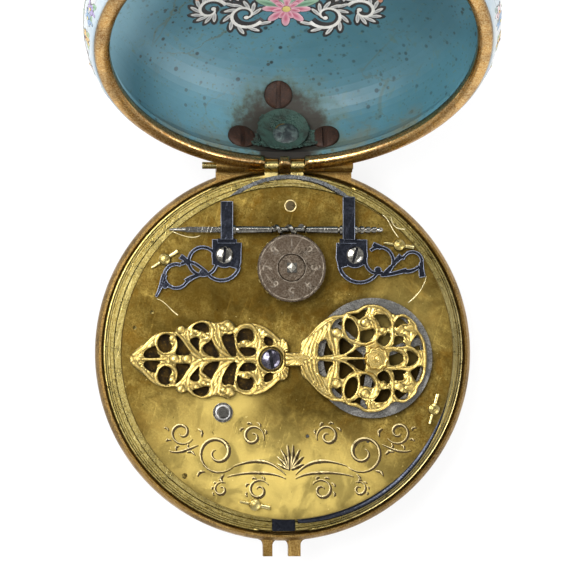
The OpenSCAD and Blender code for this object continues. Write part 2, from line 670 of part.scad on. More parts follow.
// One bracket: a low foot under its screw and a tall block bored for the worm
module worm_bracket(x, l, screw_at) {
    difference() {
        union() {
            translate([x - bracket_w / 2, worm_y - 1, upper_top_z])
                cube([bracket_w, l, worm_z - upper_top_z + 0.65]);
            translate([x - bracket_w / 2 - 0.3, worm_y - 1.35, upper_top_z])
                cube([bracket_w + 0.6, 0.45, 1]);
            translate([screw_at[0], screw_at[1], upper_top_z]) cylinder(r = 1.3, h = 0.5);
            translate([screw_at[0] - 1.25, screw_at[1] - 1, upper_top_z])
                cube([2.5, worm_y - screw_at[1], 0.5]);
            translate([0, 0, upper_top_z]) linear_extrude(0.5) offset(delta = 0.01) children();
        }
        translate([x - 2, worm_y, worm_z]) rotate([0, 90, 0]) cylinder(r = 0.28 + run_gap, h = 4);
        translate([screw_at[0], screw_at[1], upper_top_z - 1]) cylinder(r = 0.45, h = 3);
    }
}

module worm_bracket_left() color("darkslateblue")
    worm_bracket(bracket_x[0], bracket_l[0], bracket_screw_at[0]) bracket_scroll_left_2d();

module worm_bracket_right() color("darkslateblue")
    worm_bracket(bracket_x[1], bracket_l[1], bracket_screw_at[1]) bracket_scroll_right_2d();

module bracket_screws() color("silver") for (i = [0:1])
    translate([bracket_screw_at[i][0], bracket_screw_at[i][1], upper_top_z + 0.5])
        slotted_screw(0.92, 0.5, 0.45, 0.5 + plate_t, 84 - 10 * i);

// The worm: tapered tip, winding square, collars, thread and ringed finial

function worm_thread_points(r_in, r_out, half, turns, steps) =
    [for (i = [0:turns * steps])
        let (a = 360 * i / steps, x = setup_pitch * (i / steps - turns / 2))
        each [
            [x - half, r_in * cos(a), r_in * sin(a)],
            [x - half * 0.35, r_out * cos(a), r_out * sin(a)],
            [x + half * 0.35, r_out * cos(a), r_out * sin(a)],
            [x + half, r_in * cos(a), r_in * sin(a)]
        ]];

function sweep_faces(rings, sides) = concat(
    [[for (j = [sides - 1:-1:0]) j]],
    [for (i = [0:rings - 2], j = [0:sides - 1])
        let (a = i * sides + j, b = i * sides + (j + 1) % sides)
        each [[a, b, b + sides], [a, b + sides, a + sides]]],
    [[for (j = [0:sides - 1]) (rings - 1) * sides + j]]
);

worm_turns = 2;
worm_steps = 18;

module worm() color("lightsteelblue") translate([0, worm_y, worm_z]) {
    union() {
        rotate([0, 90, 0]) rotate_extrude($fn = 40) polygon([
            [0, -12.3], [0.12, -12.3], [0.24, -10.7], [0.24, -10.6], [0.3, -7.3], [0.38, -7.2],
            [0.38, -7.05], [0.28, -7.02], [0.28, -5.75], [0.5, -5.72], [0.5, -5.5], [0.34, -5.4],
            [0.4, -5.2], [0.36, -1.9], [0.5, -1.75], [0.3, -1.6], [0.3, 1.6], [0.5, 1.75],
            [0.36, 1.9], [0.4, 5.1], [0.34, 5.2], [0.5, 5.35], [0.5, 5.6], [0.28, 5.62],
            [0.28, 6.9], [0.46, 6.92], [0.46, 7.15], [0.3, 7.25], [0.3, 7.4], [0.42, 7.5],
            [0.42, 7.8], [0.28, 7.95], [0.38, 8.15], [0.38, 8.45], [0.24, 8.6], [0.34, 8.8],
            [0.34, 9.1], [0.2, 9.25], [0.28, 9.45], [0.24, 9.75], [0, 9.9]
        ]);
        translate([-10.6, -0.29, -0.29]) cube([3.2, 0.58, 0.58]);
        polyhedron(
            points = worm_thread_points(0.25, worm_pitch_r + 0.15, 0.42, worm_turns, worm_steps),
            faces = sweep_faces(worm_turns * worm_steps + 1, 4), convexity = 6
        );
    }
}

module setup_wheel() color("darkgoldenrod") translate([barrel_at[0], barrel_at[1], setup_z])
    difference() {
        linear_extrude(setup_wheel_t) rotate(90)
            gear_2d(setup_teeth, setup_m, 0.4, 0.45, 0.19);
        translate([-0.5, -0.5, -1]) cube([1, 1, 3]);
    }

module setup_disc() color("rosybrown") translate([barrel_at[0], barrel_at[1], disc_z])
    difference() {
        rotate_extrude() polygon([
            [0, 0], [disc_d / 2 - 0.1, 0], [disc_d / 2, 0.1], [disc_d / 2, disc_t - 0.08],
            [disc_d / 2 - 0.08, disc_t], [1.5, disc_t], [1.42, disc_t - 0.08], [1.34, disc_t],
            [0, disc_t]
        ]);
        translate([-0.5, -0.5, -1]) rotate(0) cube([1, 1, 3]);
    }

module barrel_arbor() color("silver") translate([barrel_at[0], barrel_at[1], 0]) {
    translate([0, 0, plate_low_z]) cylinder(r = 0.5, h = barrel_z0 - plate_low_z - 0.1);
    translate([0, 0, barrel_z0 - 0.15]) cylinder(r = 0.9, h = 0.15 + barrel_wall + run_gap);
    translate([0, 0, barrel_z0 + barrel_wall]) cylinder(r = 1.6, h = 3.6);
    translate([0, 0, barrel_z0 + barrel_wall + 3.5]) cylinder(r = 0.9, h = 1);
    translate([0, 0, 13.2]) cylinder(r = 0.75, h = upper_top_z - 13.2 + 0.5);
    translate([0, 0, upper_top_z + 0.4]) cylinder(r = 1.1, h = setup_z - upper_top_z - 0.4);
    translate([-0.5, -0.5, setup_z - 0.1]) cube([1, 1, disc_z + disc_t + 0.35 - setup_z]);
    translate([0, 0, setup_z + setup_wheel_t])
        difference() {
            cylinder(r = 1.2, h = disc_z - setup_z - setup_wheel_t);
        }
}

// Barrel, its cap and the mainspring

module barrel_drum() color("goldenrod") translate([barrel_at[0], barrel_at[1], 0]) difference() {
    translate([0, 0, barrel_z0]) cylinder(r = barrel_r, h = barrel_z1 - barrel_z0);
    translate([0, 0, barrel_z0 + barrel_wall]) cylinder(r = barrel_r - barrel_wall, h = 9);
    translate([0, 0, barrel_z1 - 0.45]) cylinder(r = barrel_r - 0.25, h = 1);
    cylinder(r = 0.9 + run_gap, h = 20);
}

module barrel_cap() color("gold") translate([barrel_at[0], barrel_at[1], barrel_z1 - 0.45])
    difference() {
        rotate_extrude() polygon([
            [0, 0], [barrel_r - 0.25, 0], [barrel_r - 0.25, 0.4], [barrel_r - 0.4, 0.45],
            [2.4, 0.45], [2.3, 0.38], [0, 0.38]
        ]);
        translate([0, 0, -1]) cylinder(r = 0.9 + run_gap, h = 3);
        translate([barrel_r - 1.2, 0, -1]) cylinder(r = 0.3, h = 3);
    }

spring_turns = 7;
spring_in_r = 1.75;
spring_out_r = barrel_r - barrel_wall - 0.25;

module mainspring() color("steelblue")
    translate([barrel_at[0], barrel_at[1], barrel_z0 + barrel_wall + 0.1])
        linear_extrude(3.4)
            band(spiral_points([0, 0], spring_in_r, spring_out_r, 0, 360 * spring_turns,
                20 * spring_turns), 0.22, 0.22);

// Fusee, with a turned profile that narrows as the spring gains strength

function fusee_r(z) =
    let (t = (z - fusee_z0) / (fusee_z1 - fusee_z0), a = 2 / fusee_d, b = 2 / fusee_top_d)
    1 / (a + (b - a) * min(max(t, 0), 1));

fusee_land = 0.12;
fusee_grooves = floor((fusee_z1 - fusee_z0 - 0.1) / chain_pitch);

module fusee() color("darkgoldenrod") translate([fusee_at[0], fusee_at[1], 0]) difference() {
    rotate_extrude() polygon(concat(
        [[0, fusee_z0 - 0.15], [fusee_r(fusee_z0) + 0.3, fusee_z0 - 0.15],
            [fusee_r(fusee_z0) + 0.3, fusee_z0 + 0.05]],
        [for (i = [0:fusee_grooves - 1]) let (z = fusee_z0 + 0.1 + i * chain_pitch) each [
            [fusee_r(z) - 0.02, z], [fusee_r(z + 0.6) - fusee_land, z + 0.06],
            [fusee_r(z + 0.6) - fusee_land, z + chain_pitch - 0.06]
        ]],
        [[fusee_r(fusee_z1) - 0.02, fusee_z1], [fusee_r(fusee_z1) - 0.3, snail_z], [0, snail_z]]
    ));
    cylinder(r = 0.6, h = 20);
}

module great_wheel() color("goldenrod") translate([fusee_at[0], fusee_at[1], great_z]) difference() {
    linear_extrude(great_t) difference() {
        rotate(bearing_to(fusee_at, second_at)) wheel_2d(great_teeth, great_m);
        circle(0.6);
    }
    translate([0, 0, -1]) cylinder(r = 1.6, h = 1.2);
}

// Arbor with the snail of the stop work, the winding square and the front pivot
module fusee_arbor() color("silver") translate([fusee_at[0], fusee_at[1], 0]) {
    difference() {
        union() {
            translate([0, 0, motion_z - 0.05]) cylinder(r = 0.6, h = snail_z + snail_t - motion_z);
            translate([0, 0, snail_z]) linear_extrude(snail_t)
                polygon(concat([[0, 0]], spiral_points([0, 0], 1.3, 2.9, 20, 350, 24)));
            translate([0, 0, snail_z]) cylinder(r = 1.25, h = snail_t);
            translate([0, 0, 13]) cylinder(r = 0.5, h = upper_top_z - 13 + 0.5);
            translate([-0.46, -0.46, upper_top_z + 0.4]) cube([0.92, 0.92, 1.35]);
        }
        translate([0, 0, motion_z - 1]) cylinder(r = 0.2, h = 1.2);
    }
}

module winding_collar() color("midnightblue") translate([fusee_at[0], fusee_at[1], upper_top_z + 0.04])
    tube(1.03, 0.5, 0.32);

module motion_pinion() color("silver") translate([fusee_at[0], fusee_at[1], motion_z]) difference() {
    linear_extrude(motion_t)
        rotate(bearing_to(fusee_at, [0, 0]) + 180 / motion_leaves) pinion_2d(motion_leaves, motion_m);
    translate([0, 0, -1]) cylinder(r = 0.6, h = 3);
}

// Chain: turns on the barrel, a straight run along the outside and turns on the fusee

barrel_chain_r = barrel_r + 0.13;
barrel_wraps = 3;
fusee_wraps = 2.25;
tangent_turn = bearing_to(barrel_at, fusee_at)
    - acos((barrel_chain_r - fusee_chain_r(chain_z)) / norm(fusee_at - barrel_at));

function fusee_chain_r(z) = fusee_r(z - chain_h / 2) + pass_gap;

function chain_ring(at, r, a, z) = [for (c = [[0, 0], [0, 1], [1, 1], [1, 0]])
    let (p = on_circle(at, r + c[0] * chain_t, a)) [p[0], p[1], z + (c[1] - 0.5) * chain_h]];

barrel_rings = barrel_wraps * chain_steps;
fusee_rings = fusee_wraps * chain_steps;

function barrel_turn(i) = tangent_turn - 360 * (1 - i / barrel_rings) * barrel_wraps;
function chain_fusee_z(i) = chain_z - chain_pitch * i / chain_steps;
function chain_barrel_z(i) = chain_z + chain_pitch * (barrel_rings - i) / chain_steps;

// Each step along the chain: the middle of its coil, its radius, its turn and its height
chain_path = [
    for (i = [0:barrel_rings]) [barrel_at, barrel_chain_r, barrel_turn(i), chain_barrel_z(i)],
    for (i = [0:fusee_rings]) let (z = chain_fusee_z(i))
        [fusee_at, fusee_chain_r(z), tangent_turn + 360 * i / chain_steps, z]
];
chain_points = [for (c = chain_path) let (p = on_circle(c[0], c[1], c[2])) [p[0], p[1], c[3]]];

// Least gap between one turn of the chain and the next, from edge to edge
chain_gap = min([for (i = [0:len(chain_points) - 1], j = [i + chain_steps / 2:len(chain_points) - 1])
    norm(chain_points[i] - chain_points[j])]) - chain_h;
echo(chain_gap = chain_gap);

module fusee_chain() color("gray") polyhedron(
    points = [for (c = chain_path) each chain_ring(c[0], c[1], c[2], c[3])],
    faces = sweep_faces(barrel_rings + fusee_rings + 2, 4), convexity = 10
);

// Second wheel

module arbor(at, r, z0, z1) {
    translate([at[0], at[1], 0]) {
        translate([0, 0, z0]) cylinder(r = r, h = z1 - z0);
        translate([0, 0, plate_low_z + 0.05]) cylinder(r = 0.16, h = upper_top_z - plate_low_z - 0.1);
    }
}

module second_arbor() color("silver") {
    arbor(second_at, 0.4, plate_top_z + 0.1, upper_low_z - 0.1);
    translate([second_at[0], second_at[1], great_z - 0.1])
        linear_extrude(great_t + 0.25)
            rotate(bearing_to(second_at, fusee_at) + 180 / pinion_leaves)
                pinion_2d(pinion_leaves, great_m);
    translate([second_at[0], second_at[1], second_z - 0.3]) cylinder(r = 0.9, h = 0.3);
}

module second_wheel() color("goldenrod") translate([second_at[0], second_at[1], second_z])
    linear_extrude(wheel_t) difference() {
        rotate(bearing_to(second_at, contrate_at)) wheel_2d(second_teeth, second_m);
        spoke_gaps(1.2, 4.7, 4, 0.7);
        circle(0.4);
    }

module contrate_arbor() color("silver") {
    arbor(contrate_at, 0.35, plate_top_z + 0.1, upper_low_z - 0.1);
    translate([contrate_at[0], contrate_at[1], second_z - 0.15])
        linear_extrude(wheel_t + 0.3)
            rotate(bearing_to(contrate_at, second_at) + 180 / small_leaves)
                pinion_2d(small_leaves, second_m);
    translate([contrate_at[0], contrate_at[1], contrate_z - 0.3]) cylinder(r = 0.8, h = 0.3);
}

contrate_slot = 0.48;

module contrate_rim_2d(slots) {
    difference() {
        circle(contrate_r);
        circle(contrate_r - 0.45);
        if (slots) for (i = [0:contrate_teeth / 2 - 1])
            rotate(crown_turn + (i + 0.5) * 360 / contrate_teeth)
                square([2 * contrate_r + 2, contrate_slot], center = true);
    }
}

module contrate_wheel() color("goldenrod") translate([contrate_at[0], contrate_at[1], contrate_z])
    difference() {
        union() {
            linear_extrude(0.3) offset(delta = 0.001) difference() {
                circle(contrate_r - 0.2);
                spoke_gaps(1.2, contrate_r - 0.7, 4, 0.7);
            }
            linear_extrude(0.7) offset(delta = 0.001) contrate_rim_2d(false);
            translate([0, 0, 0.69]) linear_extrude(contrate_top_z - contrate_z - 0.69)
                offset(delta = 0.001) contrate_rim_2d(true);
        }
        translate([0, 0, -1]) cylinder(r = 0.35, h = 3);
    }

// Crown wheel, whose teeth point at the verge

crown_m = 0.2575;

module crown_frame() {
    along_crown() translate([crown_tip, 0, crown_z]) rotate([0, 90, 0]) children();
}

module crown_arbor() color("silver") crown_frame() {
    translate([0, 0, 0.32]) cylinder(r = 0.12, h = 0.5);
    translate([0, 0, 0.8]) cylinder(r = 0.28, h = 3.25);
    translate([0, 0, 4]) cylinder(r = 0.12, h = 0.75);
    translate([0, 0, 2.3]) linear_extrude(1.3) rotate(180 / small_leaves * 1)
        pinion_2d(small_leaves, crown_m);
}

module crown_wheel() color("goldenrod") crown_frame() difference() {
    union() {
        tube(crown_r, crown_r - 0.32, crown_len);
        translate([0, 0, crown_len - 0.3]) linear_extrude(0.3) difference() {
            circle(crown_r - 0.2);
            spoke_gaps(0.75, crown_r - 0.32, 3, 0.5);
        }
    }
    translate([0, 0, -1]) cylinder(r = 0.28, h = 4);
    for (i = [0:crown_teeth - 1]) rotate(i * 360 / crown_teeth)
        translate([crown_r - 0.6, 0, 0]) rotate([90, 0, 90]) linear_extrude(1)
            polygon([[-0.43, -0.1], [0.38, -0.1], [0.38, 0.75], [0.2, 0.75], [-0.43, 0.02]]);
}

// Verge with its two pallets, and the balance

pallet_r = crown_tip - 0.06;

module pallet(z, turn) {
    translate([0, 0, z]) rotate(turn) translate([0, -0.11, 0]) cube([pallet_r - 0.02, 0.22, 0.7]);
}

module verge_staff() color("silver") translate([verge_at[0], verge_at[1], 0]) union() {
    translate([0, 0, 7.95]) cylinder(r = 0.12, h = 0.6);
    translate([0, 0, 8.5]) cylinder(r = 0.2, h = balance_z - 8.5);
    translate([0, 0, 13.75]) cylinder(r = 0.5, h = balance_z - 13.75);
    translate([0, 0, balance_z - 0.1]) cylinder(r = 0.35, h = balance_t + 0.25);
    translate([0, 0, balance_z + balance_t])
        cylinder(r = 0.12, h = cock_z - balance_z - balance_t + 0.35);
    pallet(crown_z - 2.35, crown_turn + 50);
    pallet(crown_z + 1.65, crown_turn - 50);
}

module balance_wheel() color("gray") translate([verge_at[0], verge_at[1], balance_z])
    linear_extrude(balance_t) difference() {
        circle(balance_d / 2);
        rotate(20) spoke_gaps(1, balance_d / 2 - balance_rim_w, 3, 0.8);
        circle(0.35);
    }

// Stop work and the catch that holds the movement in the bezel

module stop_block() color("goldenrod") difference() {
    translate([stop_at[0], stop_at[1], upper_low_z - 0.9]) rotate(stop_turn)
        translate([-0.5, -1.5, 0]) cube([1, 3, 0.9]);
    stop_hinge(0.18 + run_gap, 4);
}

stop_turn = bearing_to(stop_at, stop_tip);

module stop_hinge(r, l) {
    translate([stop_at[0], stop_at[1], upper_low_z - 0.55]) rotate([0, 0, stop_turn])
        rotate([90, 0, 0]) cylinder(r = r, h = l, center = true);
}

module stop_arm() color("slategray") {
    stop_hinge(0.18, 3.8);
    translate([stop_at[0], stop_at[1], upper_low_z - 0.75]) rotate(stop_turn) {
        for (s = [-1, 1]) translate([-0.3, s * 1.75 - 0.15, 0]) cube([1.6, 0.3, 0.35]);
        translate([1.1, -1.9, 0]) cube([0.6, 3.8, 0.35]);
        translate([1.4, -0.25, 0]) cube([norm(stop_tip - stop_at) - 1.4, 0.5, 0.35]);
    }
}

catch_arm_r = 17.65;
catch_tip_turn = -84;
catch_foot_turn = -34;

module catch_spring() color("midnightblue") difference() {
    union() {
        translate([0, 0, plate_top_z + 0.02]) rotate([0, 0, catch_tip_turn])
            rotate_extrude(angle = catch_foot_turn - catch_tip_turn)
                translate([catch_arm_r, 0]) square([0.22, 0.75]);
        rotate(catch_foot_turn) translate([catch_arm_r - 0.9, -1, plate_top_z + 0.02])
            cube([1, 2, 0.45]);
    }
    rotate(catch_foot_turn) translate([catch_arm_r - 0.4, 0, 0]) cylinder(r = 0.25, h = 20);
}

module catch_screw() color("silver") rotate(catch_foot_turn)
    translate([catch_arm_r - 0.4, 0, plate_top_z + 0.47]) slotted_screw(0.5, 0.3, 0.25, 0.4, 60);

// The bolt is drawn back here, and slides out by this much to lock the movement
catch_draw = 0.4;

module catch_bolt() color("midnightblue") translate([0, catch_draw, 0]) {
    translate([-1.2, -plate_r - 0.35, 7]) cube([2.4, 1.85, 0.38]);
    translate([-1.1, -17.75, 7.25]) cube([2.2, 0.25, 0.9]);
}

// The enamelled bowl, drawn shut and swung open about the hinge line

module swung_open() {
    translate([0, hinge_y, hinge_z]) rotate([-bowl_open, 0, 0])
        translate([0, -hinge_y, -hinge_z]) children();
}

function belly_curve(r, d, depth, power) =
    r * (1 - abs((d - belly_at) / (depth - belly_at)) ^ power) ^ (1 / power);

// Outside of the bowl: an ellipse up to the belly, then a fuller curve to the crown
function outside_r(d) = d < belly_at
    ? belly_r - (belly_r - rim_out_r) * ((belly_at - d) / (belly_at - rim_low)) ^ 2
    : belly_curve(belly_r, d, bowl_depth, 2.7);

function inside_r(d) = d < belly_at
    ? belly_in_r - (belly_in_r - rim_in_r) * ((belly_at - d) / (belly_at - rim_high)) ^ 2
    : belly_curve(belly_in_r, d, inner_depth, 3);

// Depth steps that crowd together towards the crown
function depth_step(i, d0, d1) = d0 + (d1 - d0) * sin(90 * i / bowl_steps);

// Half profile of one skin, thinned by t from the outside face or the inside face
function outside_line(t) = [for (i = [0:bowl_steps])
    let (d = depth_step(i, rim_high, bowl_depth), k = i / bowl_steps)
    [max(outside_r(d) - t, 0), hinge_z + d - t * k ^ 4]];

function inside_line(t) = [for (i = [0:bowl_steps])
    let (d = depth_step(i, rim_high, inner_depth), k = i / bowl_steps)
    [i == bowl_steps ? 0 : inside_r(d) + t * (1 - k ^ 8), hinge_z + d + t * k ^ 4]];

function closed_line(line) = [for (i = [0:len(line) - 1])
    i == len(line) - 1 ? [0, line[i][1]] : line[i]];

module skin(outer, inner) {
    rotate_extrude() polygon(concat(closed_line(outer), flip(closed_line(inner))));
}

// Filed flat behind the hinge, so that the open bowl clears the bezel
module hinge_relief() {
    translate([0, hinge_y, hinge_z]) rotate([-20, 0, 0]) translate([-8, 0.12, -1.5]) cube([16, 3, 5.2]);
}

// Slots in the rim for the two lugs of the movement
module lug_slots() {
    for (x = [-lug_x1 - 0.1, lug_x0 - 0.1])
        translate([x, 17.5, hinge_z - 1.5]) cube([lug_x1 - lug_x0 + 0.2, 4, 1.65]);
}

module bowl_cuts() {
    hinge_rod(knuckle_room, -hinge_w / 2 - 0.1, hinge_w / 2 + 0.1);
    hinge_relief();
    lug_slots();
}

module bowl_rim() color("goldenrod") swung_open() difference() {
    union() {
        difference() {
            union() {
                rotate_extrude() polygon([
                    [rim_in_r, hinge_z + rim_low + 0.12], [rim_in_r + 0.12, hinge_z + rim_low],
                    [rim_out_r - 0.25, hinge_z + rim_low], [rim_out_r, hinge_z + rim_low + 0.25],
                    [outside_r(rim_high), hinge_z + rim_high],
                    [rim_in_r + enamel_in_t, hinge_z + rim_high],
                    [rim_in_r + enamel_in_t, hinge_z + lining_low], [rim_in_r, hinge_z + lining_low]
                ]);
                hinge_block(rim_in_r + 0.6, hinge_z + 0.05, rim_high - 0.1);
            }
            bowl_cuts();
        }
        for (x = [-outer_knuckle_x + pass_gap, bowl_knuckle_x0]) {
            w = outer_knuckle_x - pass_gap - bowl_knuckle_x0;
            hinge_rod(knuckle_r, x, x + w);
            translate([x, hinge_y - 0.8, hinge_z]) cube([w, 0.92, rim_high - 0.1]);
        }
        hinge_rod(knuckle_r, -mid_knuckle_x, mid_knuckle_x);
        translate([-mid_knuckle_x, hinge_y - 0.8, hinge_z])
            cube([2 * mid_knuckle_x, 0.92, rim_high - 0.1]);
        translate([-0.95, -rim_out_r - 1.5, hinge_z + rim_low - 1.4]) cube([1.35, 2, 1.7]);
    }
    hinge_rod(pin_d / 2 + pass_gap, -hinge_w, hinge_w);
    translate([-2, -case_r - 0.12, hinge_z + rim_low - 2]) cube([4, 2, 2]);
}

module bowl_shell() color("sienna") swung_open() difference() {
    skin(outside_line(enamel_out_t), inside_line(enamel_in_t));
    hinge_relief();
    shank_hole();
    fixing_seats();
}

module outer_enamel() color("white") swung_open() difference() {
    skin(outside_line(0), outside_line(enamel_out_t));
    hinge_relief();
    shank_hole();
}

module inner_enamel() color("skyblue") swung_open() difference() {
    skin(
        concat([[rim_in_r + enamel_in_t, hinge_z + lining_low]], inside_line(enamel_in_t)),
        concat([[rim_in_r, hinge_z + lining_low]], inside_line(0))
    );
    hinge_relief();
    lug_slots();
    shank_hole();
    fixing_seats();
}

module shank_hole() {
    translate([0, hinge_y - 4, hinge_z + pendant_depth]) rotate([-90, 0, 0])
        cylinder(r = shank_r, h = 8);
}

// Pendant, riveted through the wall, with the bow on two pins in its ball

module at_pendant() {
    translate([0, hinge_y, hinge_z + pendant_depth]) rotate([-90, 0, 0]) children();
}

module pendant() color("goldenrod") swung_open() difference() {
    at_pendant() rotate_extrude($fn = 48) polygon(concat(
        [[0, -0.8], [shank_r - 0.1, -0.8], [shank_r, -0.7], [shank_r, 1.45], [2.1, 1.45],
            [2.1, 1.75], [1.55, 2], [1.2, 2.4], [1.05, 2.9], [1.1, 3.3], [1.4, 3.5],
            [1.5, 3.7], [1.4, 3.9], [1, 4.1], [0.85, 4.4]],
        [for (i = [0:12]) let (a = -40 + 130 * i / 12)
            [i == 12 ? 0 : ball_d / 2 * cos(a), pendant_reach + ball_d / 2 * sin(a)]]
    ));
    translate([-3, pendant_ball_y, hinge_z + pendant_depth]) rotate([0, 90, 0])
        cylinder(d = bow_pin_d + 0.08, h = 6);
}

// The plate follows the hollow of the wall, so its underside falls away from the middle
module pendant_plate() color("seagreen") swung_open() difference() {
    at_pendant() rotate_extrude($fn = 64) polygon(concat(
        [for (i = [0:8]) let (r = plate_fix_r * i / 8) [r, -0.08 - 0.09 * r ^ 2]],
        [for (i = [8:-1:0]) let (r = plate_fix_r * i / 8) [r, -0.42 - 0.075 * r ^ 2]]
    ));
    shank_hole();
}

// Places its children at the three fixings, with their axis out of the wall into the hollow
module at_fixings() {
    for (f = fixing_at) rotate(-f[0]) translate([0, inside_r(f[1]) - 0.1, hinge_z + f[1]])
        rotate([90 + f[2], 0, 0]) children();
}

// Flat seat in the enamel under each head, with the hole for its shank
module fixing_seats() {
    at_fixings() {
        cylinder(r = fixing_head_r + run_gap, h = 1);
        translate([0, 0, -0.4]) cylinder(r = 0.5 + run_gap, h = 1);
    }
}

module pendant_screws() color("saddlebrown") swung_open()
    at_fixings() slotted_screw(fixing_head_r, 0.55, 0.5, 0.35, 90);

bow_r = bow_d / 2;
bow_gap_turn = asin((ball_d / 2 + 0.2) / bow_r);

module bow() color("goldenrod") swung_open()
    translate([0, pendant_ball_y, hinge_z + pendant_depth]) rotate([bow_lean, 0, 0])
        union() {
            translate([0, bow_r * cos(bow_gap_turn), 0]) rotate([0, 0, 0])
                rotate(-90 + bow_gap_turn) rotate_extrude(angle = 360 - 2 * bow_gap_turn)
                    translate([bow_r, 0]) circle(d = bow_wire_d, $fn = 24);
            for (s = [-1, 1]) rotate([0, s * 90, 0])
                translate([0, 0, 0.75]) cylinder(d = bow_pin_d, h = ball_d / 2 - 0.35);
            for (s = [-1, 1]) translate([s * (ball_d / 2 + 0.2), 0, 0])
                sphere(d = bow_wire_d + 0.15, $fn = 24);
        }

bezel_ring();
crystal();
hinge_pin();
pillar_plate();
dial();
dial_pins();
pillars();
pillar_pins();
top_plate();
potence();
counter_potence();
balance_cock();
cock_screw();
worm_bracket_left();
worm_bracket_right();
bracket_screws();
stop_block();
catch_spring();
catch_screw();
fusee_chain();
great_wheel();
fusee();
fusee_arbor();
winding_collar();
motion_pinion();
barrel_drum();
barrel_cap();
mainspring();
barrel_arbor();
setup_wheel();
setup_disc();
worm();
second_wheel();
second_arbor();
contrate_wheel();
contrate_arbor();
crown_wheel();
crown_arbor();
verge_staff();
balance_wheel();
hour_wheel();
hour_hand();
stop_arm();
catch_bolt();
bowl_rim();
bowl_shell();
outer_enamel();
inner_enamel();
pendant();
pendant_plate();
pendant_screws();
bow();
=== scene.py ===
import bisect
import math
import random

import bmesh
import bpy
import numpy
from mathutils import Matrix, Vector
from mathutils.geometry import delaunay_2d_cdt


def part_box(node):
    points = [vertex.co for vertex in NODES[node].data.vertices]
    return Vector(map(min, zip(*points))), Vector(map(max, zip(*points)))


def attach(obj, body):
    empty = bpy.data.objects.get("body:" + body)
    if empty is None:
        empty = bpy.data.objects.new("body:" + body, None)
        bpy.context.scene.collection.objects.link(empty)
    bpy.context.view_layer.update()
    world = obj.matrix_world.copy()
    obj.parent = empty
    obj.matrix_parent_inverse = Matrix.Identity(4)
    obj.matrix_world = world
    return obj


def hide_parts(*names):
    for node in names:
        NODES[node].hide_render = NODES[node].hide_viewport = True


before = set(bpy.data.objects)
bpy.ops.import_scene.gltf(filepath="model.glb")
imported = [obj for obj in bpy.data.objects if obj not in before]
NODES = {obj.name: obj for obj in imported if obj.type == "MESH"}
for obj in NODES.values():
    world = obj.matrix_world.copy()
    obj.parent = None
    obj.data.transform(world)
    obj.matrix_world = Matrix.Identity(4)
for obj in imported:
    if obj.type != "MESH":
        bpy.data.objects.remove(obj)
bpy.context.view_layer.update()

bl_info = {
    "name": "Enamelled Verge Pocket Watch",
    "version": (1, 0, 0),
    "blender": (4, 5, 0),
    "location": "3D View > Sidebar > Watch",
    "description": "Finishes a verge pocket watch: gilding, blued steel, enamel painting and engraving",
    "category": "Object",
}

MM = 0.001
# Keeps a division away from nothing
TINY = 1e-9
# How far a raised shape reaches into the surface under it, in millimetres
SINK = 0.02
WHITE = (1, 1, 1)
BLACK = (0.012, 0.012, 0.016)


# Places on the watch, in millimetres

def node_box_mm(node):
    low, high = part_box(node)
    return [c / MM for c in low], [c / MM for c in high]


def middle_mm(node):
    low, high = node_box_mm(node)
    return [(a + b) / 2 for a, b in zip(low, high)]


HINGE_Y, HINGE_Z = middle_mm("hinge_pin")[1:]
BOWL_OPEN = math.radians(124)
PLATE_TOP = node_box_mm("top_plate")[1][2]
COCK_TOP = node_box_mm("balance_cock")[1][2]
FOOT_TOP = PLATE_TOP + 0.7
# The axes of the cock's foot and of its table, and the middle of the rosette
COCK_Y = -0.68
TABLE_Y = -0.58
ROSETTE_X = 9.1
DISC_X, DISC_Y = middle_mm("setup_disc")[:2]
DISC_TOP = node_box_mm("setup_disc")[1][2]
DIAL_LOW = node_box_mm("dial")[0][2]
# Middles, as x and y
BARREL = (0.3, 8.8)
FUSEE = (-6.75, -6.2)
HOLE = (0.3, 15.3)
COCK_SCREW_X = -1.75
# Dark lines of painted shade in the slots of screws: x, y, z, turn in degrees, half length and breadth
SLOT_SHADE_LINES = ((-6.6, 10.15, 15.15, 84, 0.8, 0.28), (7.0, 10.15, 15.15, 74, 0.8, 0.28),
         (COCK_SCREW_X, COCK_Y, 15.42, 100, 0.95, 0.32))


def opened(x, y, z):
    """Turns a point of the shut bowl about the hinge line to where the open bowl has it."""
    dy, dz = y - HINGE_Y, z - HINGE_Z
    c, s = math.cos(-BOWL_OPEN), math.sin(-BOWL_OPEN)
    return (x, HINGE_Y + dy * c - dz * s, HINGE_Z + dy * s + dz * c)


def wall_radius(depth, widest, flare, deep, power):
    """Radius of a wall of the bowl at a depth: it flares below its widest place, and closes above it."""
    widest_depth, drawn_in = 3, 1.15
    if depth < widest_depth:
        return widest - drawn_in * ((widest_depth - depth) / flare) ** 2
    return widest * max(0.0, 1 - ((depth - widest_depth) / deep) ** power) ** (1 / power)


def outer_radius(depth):
    return wall_radius(depth, 21.2, 3.6, 9.6, 2.7)


def inner_radius(depth):
    return wall_radius(depth, 19.8, 2.1, 8.5, 3)


